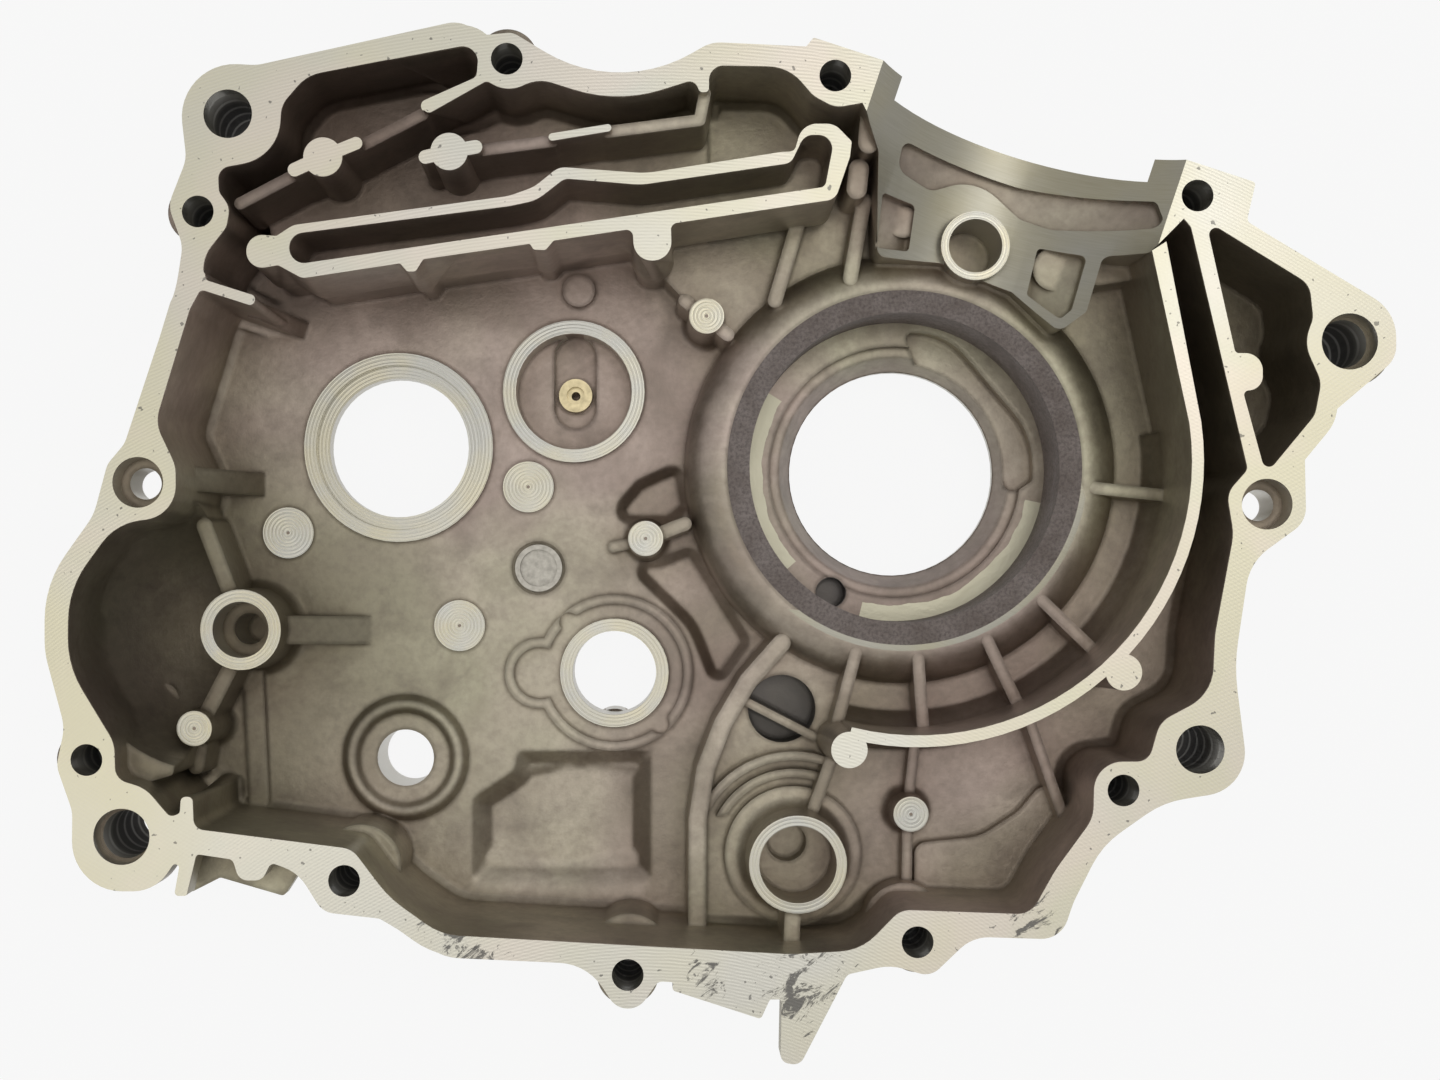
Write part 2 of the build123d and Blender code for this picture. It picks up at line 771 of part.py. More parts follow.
def labyrinth():
    """Oil gallery loop, breather islands and the ridges between them."""
    foot = UPPER_FLOOR + 1
    gallery = raised(rounded(GALLERY_EDGE), 0, foot)
    gallery -= sunk(rounded(GALLERY_SLOT), -1, GALLERY_DEPTH, DRAFT)
    gallery += raised(rounded(GALLERY_EDGE) & rounded(GEAR_SIDE), UPPER_FLOOR, GEAR_FLOOR + 1, 0)
    pieces = [gallery]
    for island in ISLANDS:
        pieces += [raised(disc((x, y), r), 0, foot) for x, y, r in island]
        pieces += [rib(island[0][:2], end[:2], 2 * end[2], 0, foot) for end in island[1:]]
    pieces.append(rib(*LEVEL_STRIP, LEVEL_STRIP_WIDTH, 0, foot))
    pieces += [rib(*ends, RIDGE_WIDTH, RIDGE_TOP, foot) for ends in RIDGES]
    return pieces


def hub():
    """Main bearing hub with its bulging flank."""
    rise = (HUB_FOOT_R - HUB_TOP_R) / 2
    section = [
        Line((0, -RING_TOP), (HUB_TOP_R, -RING_TOP)),
        ThreePointArc(
            (HUB_TOP_R, -RING_TOP),
            (HUB_TOP_R + HUB_BULGE_OUT * rise, -RING_TOP - HUB_BULGE_DOWN * (CRANK_FLOOR - RING_TOP)),
            (HUB_FOOT_R, -CRANK_FLOOR),
        ),
        Line((HUB_FOOT_R, -CRANK_FLOOR), (HUB_FOOT_R + 1, -CRANK_WEB_BOTTOM)),
        Line((HUB_FOOT_R + 1, -CRANK_WEB_BOTTOM), (0, -CRANK_WEB_BOTTOM)),
        Line((0, -CRANK_WEB_BOTTOM), (0, -RING_TOP)),
    ]
    return revolve(Plane.XZ * make_face(Wire(section)), Axis.Z)


def chamber_wall():
    """Thin curved wall around the crank chamber with its knobs and ribs."""
    inner, outer = CHAMBER_R, CHAMBER_R + CHAMBER_WALL
    sweep = CHAMBER_END - CHAMBER_START
    tip_in = CHAMBER_TIP
    tip_out = (CHAMBER_TIP[0] + CHAMBER_WALL * 1.2, CHAMBER_TIP[1] + 2)
    edges = [
        CenterArc((0, 0), inner, CHAMBER_START, sweep),
        Line(on_ray(CHAMBER_END, inner), tip_in),
        Line(tip_in, tip_out),
        Line(tip_out, on_ray(CHAMBER_END, outer)),
        CenterArc((0, 0), outer, CHAMBER_END, -sweep),
        Line(on_ray(CHAMBER_START, outer), on_ray(CHAMBER_START, inner)),
    ]
    foot = CRANK_FLOOR + 1
    pieces = [sunk(make_face(Wire(edges)), 0, foot)]
    for face, spread in [(inner + 0.5, -WALL_ROOT_WIDTH), (outer - 0.5, WALL_ROOT_WIDTH)]:
        root = Polyline((face, -foot), (face + spread, -foot), (face, -foot + WALL_ROOT_RISE), close=True)
        turned = revolve(Plane.XZ * make_face(root), Axis.Z, sweep)
        pieces.append(Rot(0, 0, CHAMBER_START) * turned)
    pieces += [raised(disc(place, KNOB_R), 0, foot) for place in CHAMBER_KNOBS]
    for angle in CHAMBER_RIBS:
        ends = on_ray(angle, HUB_TOP_R + 2), on_ray(angle, CHAMBER_R + 1)
        pieces.append(rib(*ends, RIB_WIDTH, RING_TOP, foot))
    return pieces


def spigot():
    """Seat of the cylinder spigot with its cast pockets and the breather tube."""
    block = raised(rounded(SPIGOT_BLOCK), 0, CRANK_FLOOR + FLOOR_WALL, 0) & inside_shell()
    block -= spigot_cut(SPIGOT_R)
    block -= spigot_cut(SPIGOT_R + POCKET_STEP) & sunk(rounded(SPIGOT_POCKET), 0, CRANK_FLOOR)
    deep = spigot_cut(SPIGOT_R + STUD_STEP)
    block -= [deep & sunk(rounded(pocket), 0, CRANK_FLOOR) for pocket in STUD_POCKETS]
    for x, y, radius in STUD_ENDS:
        block += rod((x, y), radius, spigot_depth((x, y), SPIGOT_R + STUD_STEP) - STUB_RISE, CRANK_FLOOR)
    return block + rod(BREATHER, BREATHER_R, BREATHER_TOP, CRANK_FLOOR)


def gearbox_features():
    """Pads, bosses, webs and rims that stand on the gearbox floor."""
    floor = GEAR_FLOOR
    pads = SUPPORT_PADS[:2] + SUPPORT_PADS[3:]
    pieces = [boss(place, SUPPORT_PAD_R, PAD_TOP, floor) for place in pads]
    pieces += [rib(*ends, width, PAD_TOP + drop) for *ends, width, drop in PAD_RIBS]
    pieces += [rib(*ends, width, floor - rise) for *ends, width, rise in FLOOR_RIBS]
    pieces += [gusset(*ends, width, PAD_TOP + drop) for *ends, width, drop in GUSSETS]
    pieces.append(boss(SPRING_BOSS, SPRING_BOSS_R, PAD_TOP, floor, WIDE_FLARE))
    pieces.append(rod(CORE_STUB, CORE_STUB_R, floor - CORE_STUB_RISE, floor + 1))
    pieces += [rod(place, FLOOR_PAD_R, floor - FLOOR_PAD_RISE, floor + 1) for place in FLOOR_PADS]
    pieces.append(rod(MAIN_SHAFT, MAIN_SHAFT_COLLAR_R, floor - COLLAR_RISE, floor + 1))
    pieces.append(rod(OUTPUT_SHAFT, OUTPUT_FACE_R, floor - FACE_RISE, floor + 1))
    pieces.append(rod(DRUM, DRUM_FACE_R, floor - FACE_RISE, floor + 1))
    ridge = disc(DRUM, DRUM_RIDGE_R) + disc(DRUM_LOBE, DRUM_LOBE_R)
    ridge -= disc(DRUM, DRUM_RIDGE_R - RIDGE_BAND) + disc(DRUM_LOBE, DRUM_LOBE_R - RIDGE_BAND)
    ridge -= [disc(place, DRUM_BITE_R) for place in DRUM_BITES]
    pieces.append(sunk(ridge, floor - FACE_RISE, floor + 1))
    return pieces


def bowl():
    """Dished corner of the gearbox behind the spring boss."""
    middle = GEAR_FLOOR - BOWL_R
    block = sunk(rounded(BOWL_EDGE), middle, GEAR_FLOOR + 1) & inside_shell()
    return block - Pos(*BOWL_CENTRE, -middle) * Sphere(BOWL_R)


def bolt_swells():
    """Case bolt bosses that swell into the cavity below the flange."""
    swells = [raised(disc(place, SWELL_R), SWELL_TOP, GEAR_FLOOR + 1) for place in SWELL_BOLTS]
    return [swell & inside_shell() for swell in swells]


def shift_lip():
    """Rounded lip around the shift shaft, turned about its axis."""
    foot, crest, dish = [SHIFT_BORE_R + reach for reach in SHIFT_LIP_REACHES]
    top = GEAR_FLOOR - SHIFT_LIP_RISE
    edges = [
        Line((0, -GEAR_FLOOR - 1), (foot, -GEAR_FLOOR - 1)),
        Line((foot, -GEAR_FLOOR - 1), (crest + 1.2, -top - 0.6)),
        ThreePointArc((crest + 1.2, -top - 0.6), (crest, -top), (crest - 1.2, -top - 0.6)),
        Line((crest - 1.2, -top - 0.6), (dish, -GEAR_FLOOR + 0.8)),
        Line((dish, -GEAR_FLOOR + 0.8), (0, -GEAR_FLOOR + 0.8)),
        Line((0, -GEAR_FLOOR + 0.8), (0, -GEAR_FLOOR - 1)),
    ]
    return Pos(*SHIFT_SHAFT) * revolve(Plane.XZ * make_face(Wire(edges)), Axis.Z)


def crank_side_features():
    """Ribs, ledges and tubes of the crank chamber and the sump."""
    foot = CRANK_FLOOR + 1
    pieces = wall_along(SUMP_WALL, SUMP_WALL_WIDTH, SUMP_WALL_TOP, GEAR_FLOOR)
    pieces.append(boss(SUPPORT_PADS[2], SUPPORT_PAD_R, PAD_TOP, CRANK_FLOOR))
    pieces += [rib(*ends, width, top, foot) for *ends, width, top in CRANK_RIBS]
    pieces.append(raised(rounded(SUMP_LEDGE), CRANK_FLOOR - LEDGE_RISE, foot) & inside_shell())
    pieces.append(rod(SCREEN_TUBE, SCREEN_TUBE_R + SCREEN_TUBE_FLARE, TUBE_FOOT, foot))
    pieces.append(boss(SCREEN_TUBE, SCREEN_TUBE_R, SCREEN_TUBE_TOP, TUBE_FOOT, WIDE_FLARE))
    for radius, rise in SHELVES:
        shelf = disc(SCREEN_TUBE, radius) - disc(SCREEN_TUBE, radius - SHELF_WIDTH)
        pieces.append(sunk(shelf & rounded(SHELF_ZONE), CRANK_FLOOR - rise, foot))
    pieces.append(rib(*WELL_RIB, SHELF_WIDTH, CRANK_FLOOR - WELL_RIB_RISE, GEAR_FLOOR + 1))
    return pieces


def outer_side():
    """Bosses, shaft hubs and the cover rim on the outside."""
    under = GEAR_FLOOR
    pieces = [rod(OUTPUT_SHAFT, OUTPUT_HUB_R, under, under + OUTPUT_HUB_LENGTH)]
    pieces.append(rod(MAIN_SHAFT, MAIN_SHAFT_SEAT_R + HUB_WALL, under, under + MAIN_HUB_LENGTH))
    pieces.append(rod(DRUM, DRUM_BORE_R + HUB_WALL, under, under + DRUM_HUB_LENGTH))
    pieces.append(rod(SHIFT_SHAFT, SHIFT_BORE_R + HUB_WALL, under, under + SHIFT_HUB_LENGTH))
    pieces.append(rod(SPRING_BOSS, SPRING_BOSS_R, under, under + SPRING_BOSS_LENGTH))
    pieces.append(sunk(offset(rounded(PANEL), PANEL_MARGIN), under, under + PANEL_DEPTH + FLOOR_WALL))
    pieces.append(rod(OIL_WELL, OIL_WELL_R + SHELL_WALL, CRANK_FLOOR, under + FLOOR_WALL))
    pieces.append(sunk(rounded(BRACKET), BRACKET_TOP, FLANGE_DEPTH))
    pieces.append(sunk(offset(rounded(FRONT_POCKET), SHELL_WALL), 0, CRANK_FLOOR + FLOOR_WALL))
    pieces.append(rod(BREATHER, BREATHER_R, CRANK_FLOOR, CRANK_FLOOR + FLOOR_WALL + BREATHER_END))
    rim = rounded(COVER_RIM)
    wall = rim - offset(rim, -COVER_RIM_WALL)
    pieces.append(sunk(wall, CRANK_FLOOR, COVER_RIM_BOTTOM))
    pieces += [rod(place, COVER_BOSS_R, CRANK_FLOOR, COVER_RIM_BOTTOM) for place in COVER_SCREWS]
    return pieces


def spigot_depth(place, radius):
    """Depth of a cylinder about the cylinder axis below a place in the mating face."""
    turn = radians(SPIGOT_ANGLE)
    across = place[1] * cos(turn) - place[0] * sin(turn)
    return sqrt(radius * radius - across * across) - SPIGOT_RISE


def open_hollows(body):
    """Cavity, front pocket and oil well, cut before anything stands in them."""
    body -= cavity_core()
    body -= sunk(rounded(FRONT_POCKET), -1, CRANK_FLOOR, DRAFT)
    body -= rod(OIL_WELL, OIL_WELL_R, CRANK_FLOOR - 1, GEAR_FLOOR)
    return body


def shaft_seats(body):
    """Machined seats and holes for the crank and the gearbox shafts."""
    shoulder = RING_TOP + MAIN_SEAT_LENGTH
    floor = GEAR_FLOOR
    body -= rod((0, 0), IRON_RING_R, RING_TOP - 1, shoulder)
    body -= rod((0, 0), HUB_SHOULDER_R, shoulder - 1, shoulder + HUB_STEP)
    body -= sunk(disc((0, 0), HUB_SHOULDER_R - CONE_STEP), shoulder, CRANK_WEB_BOTTOM - 2, CONE_SLOPE)
    body -= rod((0, 0), CRANK_HOLE_R, shoulder, CRANK_WEB_BOTTOM + 1)
    body -= sunk(rounded(WEB_RECESS), shoulder - 1, shoulder + WEB_RECESS_DEPTH)
    body -= rod(DRAIN, DRAIN_R, shoulder - 1, shoulder + DRAIN_DEPTH)
    body -= rod(MAIN_SHAFT, MAIN_SHAFT_SEAT_R, floor - 2, seat_floor())
    slot_start = (MAIN_SHAFT[0], MAIN_SHAFT[1] - SLOT_START)
    slot_end = (MAIN_SHAFT[0], MAIN_SHAFT[1] + MAIN_SHAFT_SEAT_R - SLOT_WIDTH / 2 + SLOT_OVERRUN)
    body -= sunk(strip(slot_start, slot_end, SLOT_WIDTH), floor, slot_floor())
    body -= rod(MAIN_SHAFT, JET_R, slot_floor() - 1, slot_floor() + JET_LENGTH / 2)
    body -= rod(MAIN_SHAFT, JET_HOLE_R, slot_floor(), slot_floor() + JET_LENGTH / 2 + JET_DRILL_DEPTH)
    body -= rod(OUTPUT_SHAFT, OUTPUT_SEAT_R, floor - 2, floor + OUTPUT_STEP)
    body -= rod(OUTPUT_SHAFT, OUTPUT_LIP_R, floor - 1, floor + 6)
    seat_end = floor + OUTPUT_HUB_LENGTH
    body -= rod(OUTPUT_SHAFT, OUTPUT_SEAT_R, seat_end - OUTPUT_SEAT_LENGTH, seat_end + 1)
    body -= rod(DRUM, DRUM_BORE_R, floor - 2, floor + DRUM_HUB_LENGTH + 1)
    body -= rod(SHIFT_SHAFT, SHIFT_BORE_R, floor - SHIFT_LIP_RISE - 1, floor + SHIFT_HUB_LENGTH + 1)
    return body


def seat_floor():
    """Depth of the floor of the blind main shaft seat."""
    return GEAR_FLOOR - COLLAR_RISE + MAIN_SHAFT_SEAT_LENGTH


def slot_floor():
    """Depth of the floor of the oil slot under the main shaft seat."""
    return seat_floor() + SLOT_DEPTH


def small_bores(body):
    """Tube bores, the spring bore, cast recesses and the plug hole."""
    body -= rod(BREATHER, BREATHER_BORE_R, BREATHER_TOP - 1, CRANK_FLOOR + BREATHER_DEPTH)
    body -= rod(SCREEN_TUBE, SCREEN_BORE_R, SCREEN_TUBE_TOP - 1, TUBE_FOOT)
    body -= rod(SCREEN_PORT, SCREEN_PORT_R, TUBE_FOOT - 1, CRANK_FLOOR + SCREEN_PORT_DEPTH)
    body -= rod(SPRING_BOSS, SPRING_BORE_R, PAD_TOP - 1, PAD_TOP + SPRING_BORE_DEPTH)
    body -= rod(SPRING_BOSS, SPRING_PIN_R, PAD_TOP, GEAR_FLOOR + SPRING_PIN_DEPTH)
    body -= sunk(rounded(PANEL), GEAR_FLOOR - 0.5, GEAR_FLOOR + PANEL_DEPTH, PANEL_SLOPE)
    bed = GEAR_FLOOR + PANEL_DEPTH
    ledge = bed - PANEL_LEDGE_RISE
    body += [sunk(rounded(edge), ledge, bed + 1, -PANEL_LEDGE_SLOPE) for edge in PANEL_LEDGES]
    for outline in TRENCHES:
        body -= sunk(rounded(outline), GEAR_FLOOR - 0.5, GEAR_FLOOR + TRENCH_DEPTH, TRENCH_SLOPE)
    body -= rod(PLUG_AT, PLUG_R, GEAR_FLOOR - 1, GEAR_FLOOR + FLOOR_WALL + 1)
    body -= rod(PLUG_AT, PLUG_R + PLUG_GROOVE, GEAR_FLOOR - 1, GEAR_FLOOR + PLUG_GROOVE)
    return body


def fixing_holes(body):
    """Case bolt holes, dowel seats, engine mounts and cover screws."""
    body -= [rod(place, BOLT_R, -1, SHELL_BOTTOM + 1) for place in BOLTS + DOWELS]
    body -= [rod(place, DOWEL_R, -1, DOWEL_DEPTH) for place in DOWELS]
    body -= [rod(place, MOUNT_R, -1, SHELL_BOTTOM + 1) for place in MOUNTS + LARGE_MOUNTS]
    body -= [rod(place, LARGE_MOUNT_R, -1, LARGE_MOUNT_STEP) for place in LARGE_MOUNTS]
    drill = COVER_RIM_BOTTOM - COVER_SCREW_DEPTH
    body -= [rod(place, COVER_SCREW_R, drill, COVER_RIM_BOTTOM + 1) for place in COVER_SCREWS]
    return body


def case_half():
    """The whole casting, still with its mating face at the top level."""
    body = outer_body() + outer_side()
    body -= spigot_cut(SPIGOT_R)
    body = open_hollows(body)
    body += labyrinth()
    body += hub()
    body += chamber_wall()
    body += spigot()
    body += gearbox_features()
    body += bowl()
    body += bolt_swells()
    body += shift_lip()
    body += crank_side_features()
    body = shaft_seats(body)
    body = small_bores(body)
    return fixing_holes(body)


def bearing_ring():
    """Cast-in iron ring that carries the main bearing."""
    ring = rod((0, 0), IRON_RING_R, RING_TOP, RING_TOP + MAIN_SEAT_LENGTH)
    ring -= rod((0, 0), MAIN_SEAT_R, RING_TOP - 1, RING_TOP + MAIN_SEAT_LENGTH + 1)
    return ring


def oil_jet():
    """Brass jet pressed into the slot under the main shaft seat."""
    bottom = slot_floor() + JET_LENGTH / 2
    jet = rod(MAIN_SHAFT, JET_R, bottom - JET_LENGTH, bottom)
    jet -= rod(MAIN_SHAFT, JET_HOLE_R, bottom - JET_LENGTH - 1, bottom + 1)
    mouth = bottom - JET_LENGTH
    return jet - rod(MAIN_SHAFT, 2 * JET_HOLE_R, mouth - 1, mouth + JET_MOUTH_DEPTH)


def cup_plug():
    """Steel cup plug with a dished face, pressed into the gearbox floor."""
    top = GEAR_FLOOR + PLUG_GROOVE / 2
    plug = rod(PLUG_AT, PLUG_R, top, top + PLUG_LENGTH)
    plug -= rod(PLUG_AT, PLUG_R - PLUG_WALL, top - 1, top + PLUG_DISH)
    return plug - rod(PLUG_AT, PLUG_R - PLUG_WALL, top + PLUG_DISH + PLUG_WALL, top + PLUG_LENGTH + 1)


def main():
    """Build every piece, lift it so that Z = 0 is the bearing mouth, and save it."""
    os.makedirs("parts", exist_ok=True)
    for make in [case_half, bearing_ring, oil_jet, cup_plug]:
        export_step(Pos(0, 0, RING_TOP) * make(), "parts/" + make.__name__ + ".step")


if __name__ == "__main__":
    main()
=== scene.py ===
"""Looks of a die-cast crankcase half: cast skin, machined faces, iron ring, brass jet and plug.

Everything is in metres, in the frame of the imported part: Z = 0 is the mouth of the main bearing
seat, the crank axis is X = Y = 0, and the mating face lies 22 mm above.
"""

from math import atan2, cos, radians, sin, tan

import bmesh
import bpy
from bpy.props import FloatProperty, FloatVectorProperty, PointerProperty
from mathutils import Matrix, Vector


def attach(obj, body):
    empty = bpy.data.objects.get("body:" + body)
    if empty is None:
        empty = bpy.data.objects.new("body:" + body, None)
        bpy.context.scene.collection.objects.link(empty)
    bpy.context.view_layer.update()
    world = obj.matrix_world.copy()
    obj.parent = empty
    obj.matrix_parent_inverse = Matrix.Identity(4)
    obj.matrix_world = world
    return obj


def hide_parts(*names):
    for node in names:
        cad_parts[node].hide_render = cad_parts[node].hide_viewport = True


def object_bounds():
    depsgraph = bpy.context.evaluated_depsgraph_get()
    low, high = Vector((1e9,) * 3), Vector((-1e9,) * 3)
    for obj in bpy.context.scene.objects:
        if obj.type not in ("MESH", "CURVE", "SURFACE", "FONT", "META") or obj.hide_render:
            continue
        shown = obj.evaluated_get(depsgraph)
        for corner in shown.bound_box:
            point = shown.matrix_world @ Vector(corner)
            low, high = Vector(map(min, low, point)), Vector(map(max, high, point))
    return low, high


bl_info = {
    "name": "Crankcase half looks",
    "version": (1, 0, 0),
    "blender": (4, 5, 0),
    "location": "View3D > Sidebar > Crankcase",
    "description": "Cast and machined finishes, floor, lights and camera for a crankcase half",
    "category": "Object",
}

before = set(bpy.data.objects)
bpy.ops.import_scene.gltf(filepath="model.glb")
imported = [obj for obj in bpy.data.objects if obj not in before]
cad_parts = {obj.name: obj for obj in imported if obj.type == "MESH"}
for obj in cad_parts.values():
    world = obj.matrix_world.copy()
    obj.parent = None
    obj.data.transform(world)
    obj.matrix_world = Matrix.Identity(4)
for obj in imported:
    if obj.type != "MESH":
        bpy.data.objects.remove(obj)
CAD_BOX = [list(corner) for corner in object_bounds()]

# Levels of the machined faces above the bearing mouth, in metres
MATING_LEVEL = 0.022
SCREEN_TUBE_LEVEL = 0.010
BREATHER_LEVEL = 0.005
PAD_LEVEL = 0.002
COLLAR_LEVEL = -0.0165
SHAFT_FACE_LEVEL = -0.0168
FLOOR_PAD_LEVEL = -0.0172
OUTPUT_LIP_LEVEL = -0.0184
SHOULDER_LEVEL = -0.0175
COVER_LEVEL = -0.040
HUB_LEVEL = 0.0
TURNED_LEVELS = (
    PAD_LEVEL,
    SCREEN_TUBE_LEVEL,
    BREATHER_LEVEL,
    COLLAR_LEVEL,
    OUTPUT_LIP_LEVEL,
    SHAFT_FACE_LEVEL,
    FLOOR_PAD_LEVEL,
)
LEVEL_SLACK = 0.00004

# How upright a normal is on a level face, an underside and a wall
LEVEL_NORMAL = 0.9995
UNDER_NORMAL = -0.99
WALL_NORMAL = 0.02

# Shading breaks where faces meet at more than this angle
SHARP_ANGLE = radians(32)

# Centres of the machined features on the floor plan
CRANK = (0.0, 0.0)
MAIN_SHAFT = (-0.0776, 0.0194)
OUTPUT_SHAFT = (-0.1199, 0.0059)
DRUM = (-0.0678, -0.0485)
SHIFT_SHAFT = (-0.1182, -0.0690)
SPRING_BOSS = (-0.1537, -0.0376)
BREATHER = (0.0156, 0.0506)
SCREEN_TUBE = (-0.0255, -0.0906)
SUPPORT_PADS = [(-0.0460, 0.0349), (-0.0601, -0.0165), (0.0012, -0.0802), (-0.1644, -0.0604)]
FLOOR_PADS = [(-0.1466, -0.0147), (-0.0886, -0.0036), (-0.1052, -0.0371)]
CASE_BOLTS = [
    (-0.1585, 0.0550),
    (-0.0905, 0.0886),
    (-0.0182, 0.0849),
    (0.0615, 0.0585),
    (0.0452, -0.0724),
    (-0.0001, -0.1058),
    (-0.0639, -0.1130),
    (-0.1263, -0.0923),
    (-0.1830, -0.0657),
]
DOWELS = [(0.0768, -0.0094), (-0.1717, -0.0046)]
MOUNTS = [(-0.1519, 0.0765), (0.0621, -0.0634), (0.0950, 0.0264), (-0.1753, -0.0826)]

# Narrow holes painted dark inside as shade, how far from their centres that holds, and the levels between
# which the painted shade deepens
BOLT_HOLES = CASE_BOLTS + MOUNTS
BOLT_HOLE_REACH = 0.009
HOLE_SHADE_START = MATING_LEVEL - 0.002
HOLE_SHADE_END = MATING_LEVEL - 0.012

# Reach of the stronger cutter arcs around the mounts
MOUNT_WEAR_REACH = 0.030

# Bored holes: centre and the radius inside which a wall belongs to them
BORES = [
    (CRANK, 0.0252),
    (MAIN_SHAFT, 0.0142),
    (OUTPUT_SHAFT, 0.0202),
    (DRUM, 0.0103),
    (SHIFT_SHAFT, 0.0070),
    (SPRING_BOSS, 0.0067),
    (BREATHER, 0.0063),
    *((place, 0.0037) for place in CASE_BOLTS),
    *((place, 0.0058) for place in DOWELS),
    *((place, 0.0064) for place in MOUNTS),
]

# Turned faces: centre and the radius inside which their rings run
TURNED = [
    (OUTPUT_SHAFT, 0.0236),
    (MAIN_SHAFT, 0.0175),
    (DRUM, 0.0135),
    (SPRING_BOSS, 0.0096),
    (BREATHER, 0.0082),
    (SCREEN_TUBE, 0.0114),
    *((place, 0.0043) for place in SUPPORT_PADS),
    *((place, 0.0064) for place in FLOOR_PADS),
]
CENTRE_DOT_R = 0.0004

# Share of a spot's radius over which it is at full strength
SPOT_CORE = 0.2

# Worn spots on the mating face: centre on the floor plan and radius, the way their scratches run,
# how much they thin out towards the rim, and how rare the small dark specks are
SCUFFS = [
    ((-0.0998, -0.1053), 0.0130),
    ((-0.0250, -0.1163), 0.0160),
    ((-0.0460, -0.1130), 0.0080),
    ((0.0256, -0.1013), 0.0110),
]
SCUFF_TURN = radians(35)
SCUFF_THINNING = 0.16
SPECK_LIMIT = 0.715

# Zones of the cast skin painted darker as shade: centre on the floor plan and radius
SHADE_ZONES = [
    ((-0.1560, -0.0400), 0.060),
    ((-0.1250, 0.0800), 0.048),
    ((0.0750, 0.0250), 0.045),
]

# Drain and oil well: centre on the floor plan and radius, and the level below which they are painted dark
# as shade
WELLS = [((-0.0155, -0.0291), 0.0037), ((-0.0280, -0.0565), 0.0081)]
WELL_SHADE_LEVEL = -0.0085

# Part of the turn over which the boring tool has cut the hub beside the iron ring
HUB_CUT = (radians(-128), radians(-8))
HUB_TOP_R = 0.0432

# Bearing shoulder, the parts of the turn over which it is cut, from which radius, and how unevenly
SHOULDER_R = 0.0413
SHOULDER_CUTS = [
    (radians(-104), radians(-12)),
    (radians(148), radians(180)),
    (radians(-180), radians(-138)),
]
SHOULDER_CUT_R = 0.0322
SHOULDER_CUT_WAVER = 0.0018

# Round middle of the front breather island: place, radius at the mating face, draft, floor level,
# how deep its foot sinks into the floor, and how far its top stands above the mating face
ISLAND = (-0.1032, 0.0682)
ISLAND_R = 0.0041
ISLAND_DRAFT = radians(1.5)
ISLAND_FOOT = -0.002
ISLAND_SINK = 0.0005
ISLAND_PROUD = 0.00001
ISLAND_SIDES = 64

# Cylinder spigot: direction of its axis on the plan, its radius, the height of the axis, and where
# its wall and its deck are looked for
SPIGOT_ANGLE = radians(71.6)
SPIGOT_R = 0.0410
SPIGOT_HEIGHT = 0.0432
SPIGOT_START = 0.030
SPIGOT_HALF_WIDTH = 0.036
SPIGOT_SLACK = 0.0009
SPIGOT_TOP_GAP = 0.0002
DECK_DISTANCE = 0.0813
DECK_HALF_WIDTH = 0.053
DECK_SLACK = 0.0006
DECK_LEAN = 0.5

# Tool marks, as radians of a wave per metre
FEED_LINES = 9000.0
STEP_LINES = 1100.0
TURNED_RINGS = 7200.0
TURNED_FINE_RINGS = 17000.0

# Centres of the two wide cutters' arcs on the mating face, and how densely they lie
FRONT_CUTTER = (-0.060, -0.210)
FRONT_CUTTER_DENSITY = 430.0
BACK_CUTTER = (-0.020, 0.190)
BACK_CUTTER_DENSITY = 360.0

# Camera, straight above the mating face as in the photograph, with its sensor's width in millimetres
CAMERA_HEIGHT = 0.400
CAMERA_PLACE = (-0.0568, -0.0261, MATING_LEVEL + CAMERA_HEIGHT)
CAMERA_NEAR = 0.01
SENSOR_WIDTH = 36.0

# Place that the lamps look at
LAMP_TARGET = (-0.05, 0, 0)

# Share of the floor that is plain white to the camera and in metal; the rest takes the shadow
FLOOR_VEIL = 0.92

# Multiplied by this, a place lies on the floor plan
ON_PLAN = (1, 1, 0)


